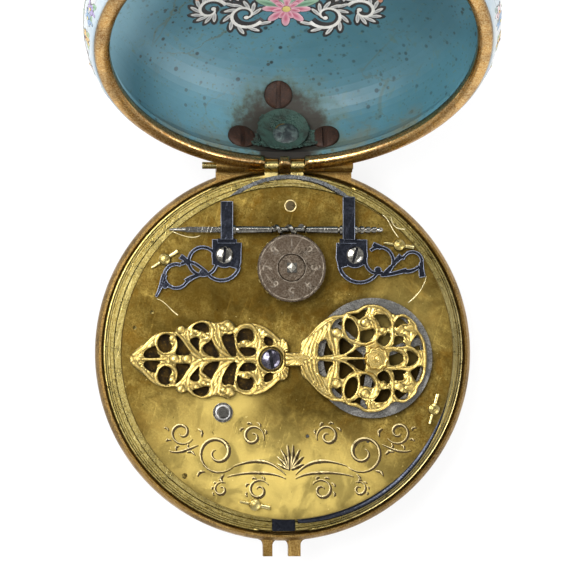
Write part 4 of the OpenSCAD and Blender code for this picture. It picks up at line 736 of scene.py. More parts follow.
class WATCH_OT_steel(WatchOperator):
    """Finishes the polished, blued, grey and rusty steel, the silvered disc and the crystal"""
    bl_idname = "watch.steel"
    bl_label = "Finish Steel, Silver and Glass"

    def execute(self, context):
        polished = old_metal("polished_steel", "4c4943", self.paint("steel"), "bebcb4", patch=420.0, low=0.36,
                             high=0.62, rough=(0.14, 0.24), scratch=0.3, scratch_scale=5200.0)
        dress(["worm", "bracket_screws", "catch_screw", "fusee_arbor", "motion_pinion", "barrel_arbor",
               "second_arbor", "contrate_arbor", "crown_arbor", "verge_staff", "stop_arm", "mainspring"],
              polished.material)
        blue = old_metal("blued_steel", "20222a", self.paint("blued"), "5a5e6a", patch=260.0, low=0.35,
                         high=0.66, rough=(0.16, 0.28), scratch=0.3, scratch_scale=5200.0)
        dress(["worm_bracket_left", "worm_bracket_right", "catch_spring", "catch_bolt", "hour_hand"],
              blue.material)
        self.worn_edges()
        self.catch_blade(blue.material)
        plain_metals(STEEL)

        rust = self.paint("rust")
        rusty, tarnish = self.crusted("rusty_steel", 0.35, 0.6, 900.0, 0.35, 0.62,
                                      mix(rust, (0.01, 0.006, 0.004), 0.75), mix(rust, linear("45291a"), 0.8))
        rusty.strew(tarnish["Grain"], 0.55, 0.8, 0.0, 1.0, "7a4a26")
        low_pair = rusty.near(opened(0, 19.9, HINGE_Z + 3.6), 5.0, 7.0, 1.0, (0.75, 1, 1))
        rusty.lay(low_pair, 0.5, "1d130c")
        rusty.bump(tarnish["Grain"], 0.6, 0.05)
        rusty.bump(tarnish["Patches"], 0.5, 0.05)
        dress(["pendant_screws"], rusty.material)

        green = mix(self.paint("verdigris"), linear("22362d"), 0.9)
        crust, tarnish = self.crusted("verdigris", 0.1, 0.75, 800.0, 0.32, 0.6, "1f2820", green)
        crust.strew(tarnish["Grain"], 0.66, 0.9, 0.0, 1.0, "57776a")
        crust.bump(tarnish["Grain"], 0.7, 0.05)
        crust.bump(tarnish["Patches"], 0.6, 0.08)
        dress(["pendant_plate"], crust.material)

        glass = Finish("crystal_glass", roughness=0.03, Transmission_Weight=1.0, IOR=1.45,
                       Base_Color=(0.96, 0.985, 0.98, 1))
        haze = glass.use("scratches", Scale=700.0, Turn=0.3)
        glass.rough(glass.span(haze["Mask"], 0.0, 1.0, 0.02, 0.12))
        dress(["crystal"], glass.material)
        return {"FINISHED"}

    @staticmethod
    def crusted(name, metallic, roughness, patch, low, high, dark, pale):
        """A dull metal in two tones of crust, and the masks of its tarnish."""
        made = Finish(name, metallic=metallic, roughness=roughness)
        tarnish = made.use("tarnish", Patch_Scale=patch, Low=low, High=high)
        made.mix(tarnish["Patches"], dark, pale)
        return made, tarnish

    def worn_edges(self):
        """Painted highlights as bright lines along the brackets' upper edges, and painted shade as dark lines
        in the screws' slots.
        """
        sheet = Sheet()
        for name in ("worm_bracket_left", "worm_bracket_right"):
            high = node_box_mm(name)[1][2]
            # Painted highlights along the edges of each bracket
            for z, broad, tint in ((high, 0.06, (0.2, 0.22, 0.27)),
                                   (PLATE_TOP + 0.5, 0.07, (0.2, 0.22, 0.28))):
                for loop in loops_of(level_borders(name, z)):
                    sheet.stroke(flat(z), loop + loop[:1], broad, broad, 0.012, tint)
        # Painted shade in the slots of the screws
        for x, y, z, turn, half, broad in SLOT_SHADE_LINES:
            dx, dy = polar(half, math.radians(turn))
            sheet.stroke(flat(z), [(x - dx, y - dy), (x, y), (x + dx, y + dy)], broad, broad, 0.005, BLACK)
        made = Finish("worn_steel", metallic=0.7, roughness=0.34)
        made.colour(made.tint())
        sheet.finish("worn_edges", made.material, "movement", "blued_steel")

    def catch_blade(self, blued):
        """The broad upper edge of the catch's spring, beside the top plate's edge, widened into a dark band
        of painted shade for the gap there.
        """
        sheet, rings = Sheet(), []
        inner, low, high, stop, steps = 17.5, 7.5, 7.56, -9, 48
        start = math.degrees(math.asin((node_box_mm("catch_bolt")[1][0] + 0.25) / inner)) - 90
        for i in range(steps + 1):
            a = math.radians(start + (stop - start) * i / steps)
            # The band swells outwards past the spring as painted shade in the gap beside the plate's edge
            outer = 17.9 + 0.62 * math.sin(math.pi * (i + 6) / (steps + 6)) ** 0.7
            rings.append([(*polar(r, a), z)
                          for r, z in ((inner, low), (inner, high), (outer, high), (outer, low))])
        sheet.rings(rings)
        sheet.finish("catch_blade", blued, "movement", "blued_steel")


# Enamel

# Pitting of the inside: scale and size of the spots, the clouds that they keep to, depth, colour
SPECKS = ((560.0, 0.17, 120.0, 0.46, 0.95, "1c1812"), (900.0, 0.22, 200.0, 0.44, 0.85, "2a2718"),
          (1900.0, 0.27, 420.0, 0.43, 0.65, "3f4a2a"))
# Painted highlights on the left, a darker place on the right and brown stains of the inside: x, y, height,
# inner and outer reach, raggedness, depth, colour
INSIDE_HIGHLIGHTS_AND_STAINS = (
    # Painted highlights: soft pale reflections on the left
    (-9.5, 16.2, 6.5, 1.0, 9.0, 4.0, 0.25, "86b2bf"),
    (-17.5, 3.0, 4.0, 2.0, 10.0, 1.0, 0.7, "a8d0de"),
    # A darker place on the right
    (11, 12, 8, 5.0, 16.0, 2.0, 0.5, "335f69"),
    # Brown stains
    (-7.5, 17.6, 1.2, 0.4, 4.2, 5.0, 0.55, "6a5f3c"),
    (7.6, 17.7, 1.2, 0.4, 4.0, 5.0, 0.55, "6a5f3c"),
    (-12, 14.5, 1.2, 0.4, 3.2, 5.0, 0.55, "6a5f3c"),
    (12.4, 14.2, 1.2, 0.4, 3.4, 5.0, 0.55, "6a5f3c"),
)


class WATCH_OT_enamel(WatchOperator):
    """Lays the turquoise enamel inside the bowl, the white ground outside and the dial's enamel"""
    bl_idname = "watch.enamel"
    bl_label = "Lay Enamels"

    def execute(self, context):
        self.turquoise()
        white = self.paint("outside")
        ground = Finish("painted_ground", roughness=0.2, Coat_Weight=0.4, Coat_Roughness=0.08)
        clouds = ground.span(ground.noise(160.0, 3.0), 0.35, 0.65)
        ground.mix(clouds, mix(white, linear("7f9db2"), 0.6), white)
        ground.strew(ground.noise(2600.0, 2.0), 0.72, 0.78, 0.0, 0.6, "6a6258")
        ground.bump(ground.noise(300.0, 2.0), 0.2, 0.1)
        dress(["outer_enamel"], ground.material)

        dial = Finish("dial_enamel", roughness=0.2, Coat_Weight=0.5, Coat_Roughness=0.05)
        clouds = dial.noise(200.0, 3.0)
        dial.mix(dial.span(clouds, 0.3, 0.7), "e6e1d2", "f3f1ea")
        dial.lay(self.crazed(dial, 160.0, 0.0, 0.012, dial.noise(90.0, 2.0), 0.52), 0.5, "7b6f5c")
        dial.bump(clouds, 0.1, 0.05)
        dress(["dial"], dial.material)
        return {"FINISHED"}

    @staticmethod
    def crazed(made, scale, low, high, clouds, from_cloud, to_cloud=0.6, vector=None):
        """Fine cracks along the borders of cells, in some places only."""
        borders = made.span(made.cells(scale, "DISTANCE_TO_EDGE", vector), low, high, 1.0, 0.0)
        return made.times(borders, made.span(clouds, from_cloud, to_cloud))

    def turquoise(self):
        """Cloudy turquoise enamel: crazed, pitted, and stained brown round the pendant's plate, with painted
        highlights on the left and painted shade in the hinge's slots.
        """
        inside = self.paint("inside")
        made = Finish("turquoise_enamel", roughness=0.55, Coat_Weight=0.07, Coat_Roughness=0.42)
        clouds = made.noise(110.0, 4.0, 0.55, 0.3)
        made.mix(made.span(clouds, 0.3, 0.7), mix(inside, linear("345a64"), 0.85),
                 mix(inside, linear("49727d"), 0.78))
        made.strew(made.noise(420.0, 5.0, 0.7, 1.5), 0.56, 0.7, 0.0, 0.35, "4d6e66")
        bent = add_node(made.tree, "ShaderNodeVectorMath",
                        {0: made.noise(320.0, 4.0, 0.6), 1: (0.004, 0.004, 0.004), 2: made.where},
                        operation="MULTIPLY_ADD")
        cracks = self.crazed(made, 150.0, 0.004, 0.02, made.noise(70.0, 3.0), 0.5, vector=bent)
        made.lay(cracks, 0.6, "5a5c3e")
        wear = made.use("scratches", Scale=1500.0, Turn=0.9)
        made.lay(made.times(wear["Mask"], made.span(clouds, 0.42, 0.6)), 0.4, "5f6b45")
        for scale, size, spread, low, depth, colour in SPECKS:
            spots = made.span(made.cells(scale), size * 0.6, size, 1.0, 0.0)
            speck = made.times(spots, made.span(made.noise(spread, 2.0), low, low + 0.08))
            made.lay(speck, depth, colour)
        # Painted highlights, a darker place and brown stains
        for x, y, height, inner, outer, ragged, depth, colour in INSIDE_HIGHLIGHTS_AND_STAINS:
            made.lay(made.near(opened(x, y, HINGE_Z + height), inner, outer, ragged), depth, colour)
        made.strew(made.noise(1500.0, 5.0, 0.7, 1.0), 0.6, 0.68, 0.0, 0.5, "5e6a48")
        fixings = opened(0, 19.3, HINGE_Z + 4.0)
        stain = made.near(fixings, 4.0, 7.8, 7.0)
        made.lay(stain, 0.65, "54604a")
        made.lay(made.near(fixings, 3.8, 5.9, 4.5), 0.94, "2a2117")
        # Painted shade: dark brown where the hinge's slots show the enamel behind them
        made.lay(made.near(opened(0, 18.7, HINGE_Z + 0.2), 2.5, 3.0, 0.4), 1.0, "1c150c")
        made.rough(made.span(stain, 0.0, 1.0, 0.46, 0.75))
        made.bump(made.noise(260.0, 2.0), 0.25, 0.12)
        made.bump(speck, -0.4, 0.05)
        dress(["inner_enamel"], made.material)


def sweep(sheet, profile, gap, shades, steps=160):
    """Carries a closed profile of (radius, depth) round the bowl, less a gap in degrees at the hinge; shades
    is the painted shade of each point of the profile.
    """
    turns = [math.radians(gap + (360 - 2 * gap) * i / steps) for i in range(steps + 1)]
    count = len(profile)
    verts = [opened(*clock(r, a), HINGE_Z + d) for a in turns for r, d in profile]
    faces = [[i * count + j, i * count + (j + 1) % count,
              (i + 1) * count + (j + 1) % count, (i + 1) * count + j]
             for i in range(steps) for j in range(count)]
    faces += [list(range(count - 1, -1, -1)), [steps * count + j for j in range(count)]]
    sheet.add(verts, faces, [(shade,) * 3 for _ in turns for shade in shades])


class WATCH_OT_bowl_edge(WatchOperator):
    """Rounds the gold lip of the bowl and carries the white enamel down to it"""
    bl_idname = "watch.bowl_edge"
    bl_label = "Finish the Bowl's Edge"

    def execute(self, context):
        lip = [(20.09, -0.16), (20.12, -0.34), (20.05, -0.5), (19.87, -0.62), (19.5, -0.67), (19.1, -0.67),
               (18.8, -0.62), (18.62, -0.48), (18.57, -0.25), (18.56, 0.0), (18.57, 0.3), (18.66, 0.36),
               (18.9, 0.2), (19.9, -0.3)]
        # Painted shade of the rounded lip: darker on its outer side and in the hollow inside it, brightest
        # along its lower face
        shades = [0.35, 0.5, 0.7, 0.95, 1, 1, 1, 0.95, 0.85, 0.7, 0.3, 0.12, 1, 1]
        sheet = Sheet()
        sweep(sheet, lip, 6.6, shades)
        # The short piece at the hinge, evenly dimmed by painted shade
        sheet.rings([[opened(*clock(r, math.radians(a)), HINGE_Z + d) for r, d in lip]
                     for a in (-1.5, -0.75, 0, 0.75, 1.5)], [(0.8, 0.8, 0.8)] * 5)
        made = old_metal("lip_gold", "85561f", "c7944c", "f4dca6", patch=260.0, rough=(0.2, 0.36),
                         scratch=0.4, turn=1.0, scratch_scale=4200.0)
        made.shade_tint()
        sheet.finish("bowl_lip", made.material, "bowl", "gilt_brass")

        border = Sheet()
        depths = [-0.18 + 1.13 * i / 6 for i in range(7)]
        profile = [(outer_radius(d) + 0.02, d) for d in depths]
        profile += [(outer_radius(d) - 0.3, d) for d in reversed(depths)]
        sweep(border, profile, 24, [1] * len(profile))
        white = NODES["outer_enamel"].material_slots[0].material
        border.finish("outside_border", white, "bowl", "painted_enamel")
        return {"FINISHED"}


def painted(name, roughness=0.22, coat=0.4, age=0.0):
    """Paint whose colour is each vertex's own, softly broken up, and duller with age."""
    made = Finish(name, roughness=roughness, Coat_Weight=coat, Coat_Roughness=0.08)
    dulled = made.span(made.noise(900.0, 4.0), 0.25, 0.75, 0.12 + age, 0.34 + age)
    made.mix(dulled, made.tint(), "5a544c")
    made.bump(made.noise(2500.0, 2.0), 0.15, 0.02)
    return made.material


# Borders of level faces, as pairs of points

def level_borders(node, z):
    """The borders of a CAD node's level faces at height z, in millimetres."""
    mesh = NODES[node].data
    times = {}
    for polygon in mesh.polygons:
        if polygon.normal.z < 0.99 or abs(polygon.center.z / MM - z) > 0.01:
            continue
        corners = [tuple(round(c / MM, 4) for c in mesh.vertices[i].co[:2]) for i in polygon.vertices]
        for pair in zip(corners, corners[1:] + corners[:1]):
            key = frozenset(pair)
            times[key] = times.get(key, 0) + 1
    return [tuple(key) for key, count in times.items() if count == 1 and len(key) == 2]


def loops_of(pairs):
    """Joins border pairs into closed loops of points."""
    beside = {}
    for a, b in pairs:
        beside.setdefault(a, []).append(b)
        beside.setdefault(b, []).append(a)
    loops = []
    while beside:
        loop = [next(iter(beside))]
        while True:
            onward = [p for p in beside.pop(loop[-1], []) if p in beside]
            if not onward:
                break
            loop.append(onward[0])
        if len(loop) > 2:
            loops.append(loop)
    return loops


def loop_area(loop):
    return sum(x0 * y1 - x1 * y0 for (x0, y0), (x1, y1) in zip(loop, loop[1:] + loop[:1])) / 2


def away_from(points, pairs):
    """Distance of each point to the nearest of the line pieces."""
    best = numpy.full(len(points), math.inf)
    for a, b in pairs:
        a, along = numpy.array(a), numpy.array(b) - numpy.array(a)
        t = numpy.clip((points - a) @ along / max(along @ along, TINY), 0, 1)
        best = numpy.minimum(best, numpy.hypot(*(points - a - t[:, None] * along).T))
    return best


def inside_of(points, pairs):
    """Whether each point lies inside the borders, holes taken out."""
    odd = numpy.zeros(len(points), bool)
    x, y = points.T
    for (x0, y0), (x1, y1) in pairs:
        if y0 != y1:
            spans = (y0 > y) != (y1 > y)
            odd ^= spans & (x < x0 + (y - y0) * (x1 - x0) / (y1 - y0))
    return odd


# The cock's relief

# Relief of each level, given on one side of its axis and the same on the other: veined leaves
# (middle, reach, veins), strands (line, width) and domes (middle, radius)
FOOT_CHASING = {
    "fans": [(-14.6, 0.5, 1.3, 14), (-13.1, 2.9, 1.3, 14), (-10.9, 2.2, 1.2, 16), (-7.1, 2.2, 1.7, 16),
             (-3.3, 2.0, 1.5, 16), (-0.9, 0.6, 1.9, 20), (-15.9, 0, 1.0, 12)],
    "strands": [
        ([(-16, 0.45), (-15, 1.2), (-14.2, 2.1), (-13.3, 2.75), (-12.3, 2.95), (-11.8, 2.6)], 0.36),
        ([(-15, 0), (-13, 0), (-12.6, 0.1)], 0.28),
        (arc(-12.62, 1.72, 1.1, 100, 375, 18), 0.34),
        ([(-11.55, 2.75), (-10.9, 2.0), (-10.3, 1.1), (-9.8, 0.5), (-9.2, 0.15), (-8.7, 0)], 0.34),
        ([(-10.3, 3.3), (-10.4, 2.5), (-10.2, 1.8), (-9.8, 1.2), (-9.4, 0.75), (-8.8, 0.25)], 0.32),
        ([(-10.3, 3.1), (-9.8, 3.7), (-9, 3.98), (-8.2, 3.75), (-7.85, 3.2), (-7.9, 2.4), (-7.6, 1.6),
          (-7, 0.85), (-6.4, 0.45), (-5.7, 0.12)], 0.34),
        ([(-8.6, 1.75), (-9.05, 1.45), (-9.15, 0.9), (-8.85, 0.42), (-8.3, 0.18), (-7.6, 0.08)], 0.3),
        ([(-8.7, 0), (-3.4, 0)], 0.34),
        ([(-7.2, 3.5), (-7.05, 2.3), (-6.65, 1.3), (-6, 0.6), (-5.2, 0.22)], 0.34),
        ([(-5.3, 3.35), (-5.6, 2.75), (-5.62, 2.1), (-5.42, 1.35), (-5.1, 0.75), (-4.6, 0.25)], 0.32),
        (arc(-4.4, 2.5, 1.13, 165, -160, 20), 0.32),
        ([(-3.4, 3.6), (-2.4, 3.2), (-1.6, 2.6), (-1, 2)], 0.34),
        ([(-3.1, 2.6), (-2.85, 2), (-3.0, 1.2), (-3.2, 0.6)], 0.3),
        (arc(-1.75, 0, 1.42, 0, 180, 16), 0.3)],
    "domes": [(-6.13, 3.4, 0.46), (-6.7, 3.2, 0.3), (-12.0, 2.15, 0.36), (-9.5, 2.9, 0.3), (-8.7, 2.5, 0.26),
              (-4.5, 1.75, 0.36), (-11.1, 3.1, 0.4), (-11.75, 0, 0.42), (-10.45, 0, 0.45)],
}
TABLE_CHASING = {
    "fans": [(10.9, 3.1, 2.4, 16), (12.6, 1.4, 1.5, 14), (5, 0.3, 2.3, 16), (8.6, 5, 1.3, 14),
             (8.4, 4.2, 1.4, 12), (1.2, 0, 2.2, 18)],
    "strands": [
        ([(1.35, 0.9), (2, 2.3), (3, 3.35), (3.7, 3.9), (4.5, 4.3), (5.5, 4.38), (6, 4.4)], 0.3),
        ([(1.8, 0.4), (2, 1.2), (2.5, 2.3)], 0.26),
        ([(2.2, 0.2), (2.35, 1.2), (2.95, 2.6)], 0.26),
        ([(2.65, 0.2), (2.75, 1.3), (3.4, 2.9)], 0.26),
        ([(3.05, 1.6), (3.4, 2.2), (3.9, 3.3)], 0.24),
        ([(4.3, 3.6), (4.2, 2.8), (4.4, 1.9), (4.65, 1.2), (4.75, 0.4)], 0.26),
        ([(3.1, 0), (4.6, 0), (8.1, 0)], 0.3),
        ([(6.05, 4.35), (6.65, 4.05), (7.17, 3.3), (7.37, 2.6), (7.22, 1.85), (6.85, 1.25), (6.2, 0.65),
          (5.4, 0.25), (4.6, 0.05)], 0.3),
        ([(6.2, 4.8), (5.88, 4.2), (5.7, 3.5), (5.82, 2.75), (6.25, 2.05), (6.9, 1.65), (7.45, 1.5),
          (8.05, 1.47), (8.75, 1.75), (9.12, 2.3), (9.22, 3), (9.02, 3.7), (8.55, 4.1)], 0.3),
        (arc(7.95, 3.7, 0.58, 60, 330, 12), 0.24),
        ([(6.3, 4.75), (7, 4.85), (7.5, 5.1), (8.1, 5.45), (9, 5.45), (9.8, 5.2), (10.4, 4.75), (10.75, 4.1),
          (10.82, 3.3), (10.72, 2.6)], 0.3),
        ([(10.82, 3.3), (10.86, 2.6), (10.75, 2), (10.45, 1.45), (10, 1.15)], 0.28),
        ([(10.2, 1), (11.2, 1.1), (12.3, 1.2), (13, 0.95), (13.5, 0.5), (13.65, 0)], 0.3),
        ([(11.3, 0.95), (11.85, 0.75), (12.12, 0.3), (12.14, 0)], 0.26),
        ([(11, 3.9), (11.35, 4.42), (12, 4.5), (12.7, 4.1), (13.2, 3.5), (13.3, 3), (13.75, 2.4),
          (14.05, 1.6), (14.15, 0.8), (14.2, 0)], 0.28)],
    "domes": [(5.03, 2.65, 0.45), (7.97, 3.7, 0.42), (9.85, 2.9, 0.36), (11.5, 3.05, 0.5), (11.95, 0, 0.3)],
}


def ramp(values, length=1.0):
    """0 at 0 and 1 past the length."""
    return numpy.clip(values / length, 0, 1)


def chased_height(points, depth, axis_y, chasing, height):
    """Height and painted shade of the relief: a low ground cut by veins, with raised scrolls and buds on it.
    The shade is darker in the grooves, at the edges and beside each strand and dome, with some grime in the
    grooves, and lighter along their rounded tops as painted highlights.
    """
    x, y = points[:, 0], numpy.abs(points[:, 1] - axis_y)
    lift = height * 0.55 * numpy.sqrt(1 - (1 - ramp(depth, 0.3)) ** 2)
    shade = 0.3 + 0.5 * ramp(depth, 0.22)
    for cx, cy, reach, count in chasing["fans"]:
        run = numpy.hypot(x - cx, y - cy)
        fade = ramp(reach - run, 0.35 * reach) * ramp(run - 0.15, 0.3)
        wave = 0.5 - 0.5 * numpy.cos(count * numpy.arctan2(y - cy, x - cx))
        lift = lift * (1 - 0.5 * fade * wave ** 2) + 0.2 * height * fade * (1 - wave) * ramp(depth, 0.2)
        shade = shade * (1 - 0.5 * fade * wave ** 2) + 0.25 * fade * (1 - wave)
    side = numpy.column_stack([x, y])
    for line, width in chasing["strands"]:
        away = away_from(side, list(zip(line, line[1:]))) / (width / 2)
        round_top = numpy.sqrt(ramp(1 - away ** 2))
        flank = ramp(1.7 - away, 0.5) * (away >= 1)
        lift = numpy.where(away < 1, numpy.maximum(0.7 * lift, height * round_top), lift * (1 - 0.5 * flank))
        shade = numpy.where(away < 1, 0.45 + 0.55 * round_top, shade * (1 - 0.6 * flank))
    for cx, cy, r in chasing["domes"]:
        run = numpy.hypot(x - cx, y - cy) / r
        dome = numpy.sqrt(ramp(1 - run ** 2))
        flank = ramp(1.45 - run, 0.3) * (run >= 1)
        lift = numpy.where(run < 1, height * (0.3 + dome), lift * (1 - 0.5 * flank))
        shade = numpy.where(run < 1, 0.4 + 0.6 * dome, shade * (1 - 0.6 * flank))
    return lift * (0.25 + 0.75 * ramp(depth, 0.05)), numpy.clip(shade, 0.12, 1)


def even_points(pairs, pitch):
    """Points spread evenly inside the borders, in rows, and clear of them."""
    corners = [p for pair in pairs for p in pair]
    low, high = numpy.min(corners, axis=0), numpy.max(corners, axis=0)
    row_pitch = pitch * 0.866
    rows = []
    for j in range(int((high[1] - low[1]) / row_pitch) + 1):
        xs = numpy.arange(low[0] + pitch / 2 * (j % 2), high[0], pitch)
        rows.append(numpy.column_stack([xs, numpy.full(len(xs), low[1] + j * row_pitch)]))
    grid = numpy.concatenate(rows)
    grid = grid[inside_of(grid, pairs)]
    return grid[away_from(grid, pairs) > pitch * 0.55]


def add_relief(sheet, z, pairs, axis_y, chasing, height, pitch):
    """Lays the relief over the borders as one closed shell."""
    corners = sorted({p for pair in pairs for p in pair})
    number = {p: i for i, p in enumerate(corners)}
    points = [Vector(p) for p in corners] + [Vector(p) for p in even_points(pairs, pitch)]
    made = delaunay_2d_cdt(points, [(number[a], number[b]) for a, b in pairs], [], 0, 1e-6, False)
    flat_points = numpy.array([tuple(p) for p in made[0]])
    faces = [list(face) for face in made[2]]
    middles = numpy.array([flat_points[face].mean(axis=0) for face in faces])
    faces = [face for face, kept in zip(faces, inside_of(middles, pairs)) if kept]
    lifts, shades = chased_height(flat_points, away_from(flat_points, pairs), axis_y, chasing, height)
    count = len(flat_points)
    verts = [(x, y, z + 0.004 + lift) for (x, y), lift in zip(flat_points.tolist(), lifts.tolist())]
    verts += [(x, y, z - SINK) for x, y in flat_points.tolist()]
    edges = {edge for face in faces for edge in zip(face, face[1:] + face[:1])}
    walls = [[b, a, a + count, b + count] for a, b in sorted(edges) if (b, a) not in edges]
    faces += [[i + count for i in reversed(face)] for face in faces]
    sheet.add(verts, faces + walls, [(shade,) * 3 for shade in shades.tolist()] * 2)


class WATCH_OT_cock_relief(WatchOperator):
    """Chases the cock: rounded scrolls, veined leaves and domed buds over its whole upper face"""
    bl_idname = "watch.cock_relief"
    bl_label = "Chase the Cock"

    def execute(self, context):
        height, pitch = self.sizes.relief / MM, self.sizes.relief_pitch / MM
        sheet, head_radius = Sheet(), 1.16
        seat = arc(COCK_SCREW_X, COCK_Y, head_radius, 0, 360, 48)
        foot = [pair for pair in level_borders("balance_cock", FOOT_TOP)
                if min(math.hypot(x - COCK_SCREW_X, y - COCK_Y) for x, y in pair) > 1]
        add_relief(sheet, FOOT_TOP, foot + list(zip(seat, seat[1:-1] + seat[:1])),
                   COCK_Y, FOOT_CHASING, height, pitch)
        add_relief(sheet, COCK_TOP, level_borders("balance_cock", COCK_TOP), TABLE_Y, TABLE_CHASING,
                   height, pitch)
        made = old_metal("chased_gilding", "9c7e34", "c6a858", "f0dc98", patch=900.0, rough=(0.3, 0.42),
                         scratch=0.15)
        # Painted shade and painted highlights come from each vertex's shade
        made.shade_tint()
        sheet.finish("cock_relief", made.material, "movement", "gilt_brass")
        self.rosette(made.material)
        self.patina(foot)
        return {"FINISHED"}

    def rosette(self, material):
        """The stepped round flower that stands on the table, with rings cut round it, darker in the cuts as
        painted shade.
        """
        sheet, rings, shades = Sheet(), [], []
        radius, wave, lobes = 1.22, 0.09, 9
        # Each ring's shade: the cut rings are darkened as painted shade
        for share, lift, shade in ((1.0, -0.0028, 1), (1.0, 0.7, 1), (0.9, 1.25, 1), (0.8, 1.3, 1),
                                   (0.72, 1.15, 0.6), (0.64, 1.3, 1), (0.54, 1.15, 0.6), (0.46, 1.3, 1),
                                   (0.36, 1.15, 0.6), (0.26, 1.35, 1), (0.1, 1.5, 1)):
            ring = []
            for a in round_angles(72):
                x, y = polar(share * (radius + wave * math.cos(lobes * a)), a)
                ring.append((ROSETTE_X + x, TABLE_Y + y, COCK_TOP + lift))
            rings.append(ring)
            shades.append((shade,) * 3)
        sheet.rings(rings, shades)
        sheet.finish("cock_rosette", material, "movement", "gilt_brass")

    def patina(self, pairs):
        """The dark floor that shows through the piercings of the foot: painted shade under the foot, over a
        grimy floor.
        """
        sheet = Sheet()
        for loop in sorted(loops_of(pairs), key=lambda loop: abs(loop_area(loop)))[:-1]:
            sheet.prism(loop, (PLATE_TOP - 0.01, PLATE_TOP + 0.012))
        # Dark browns for the painted shade and the grime under the foot
        floor_paint = Finish("old_dirt", roughness=0.9, Specular_IOR_Level=0.1)
        clouds = floor_paint.span(floor_paint.noise(900.0, 5.0, 0.65), 0.4, 0.75)
        floor_paint.mix(clouds, "1d160c", "45330f")
        floor_paint.strew(floor_paint.noise(5000.0, 2.0), 0.6, 0.75, 0.0, 1.0, "6b5220")
        floor_paint.bump(clouds, 0.4, 0.02)
        sheet.finish("cock_foot_dirt", floor_paint.material, "movement", "gilt_brass", smooth=False)


# Engraving

# Painted shade for the floor of each cut, a painted highlight for its edge, and the pale colour of hair
# scratches
CUT_SHADE, CUT_HIGHLIGHT, HAIRLINE = (0.05, 0.032, 0.01), (0.72, 0.58, 0.28), (0.85, 0.74, 0.42)
# Scrolls: middle, radii and angles from start to end, and how broad the cut is
SCROLLS = ((7.6, -10.4, 2.2, 0.35, -140, 420, 2.2), (11.3, -8.3, 1.3, 0.25, -150, 330, 1.6),
           (3.9, -8.7, 1.2, 0.25, 200, -280, 1.7), (3.3, -14.3, 1.15, 0.25, 150, -330, 1.7),
           (7.2, -14.2, 0.8, 0.2, 120, -300, 1.3))
STALKS = ((0.5, -12.7, 2.2, -10.9, 3.6, -11.0, 5.9, -11.8, 16, 2.0),
          (0.5, -13.1, 1.6, -12.4, 4.2, -12.2, 6.6, -12.9, 14, 1.5),
          (9.6, -9.6, 10.4, -9.9, 11.6, -10.6, 12.6, -10.2, 12, 1.3))
SCRATCHES = ((14.5, 8.0, 14.3, 6.8, 13.6, 6.0, 12.6, 5.2), (9.9, 14.4, 10.7, 13.9, 10.6, 13.2, 11.6, 12.0),
             (10.8, 14.2, 10.9, 13.2, 11.4, 12.8, 12.3, 12.9),
             (-13.6, 5.6, -12.7, 5.4, -12.2, 4.4, -11.4, 3.9),
             (-12.0, 12.6, -10.6, 12.0, -9.8, 11.8, -9.1, 12.2))


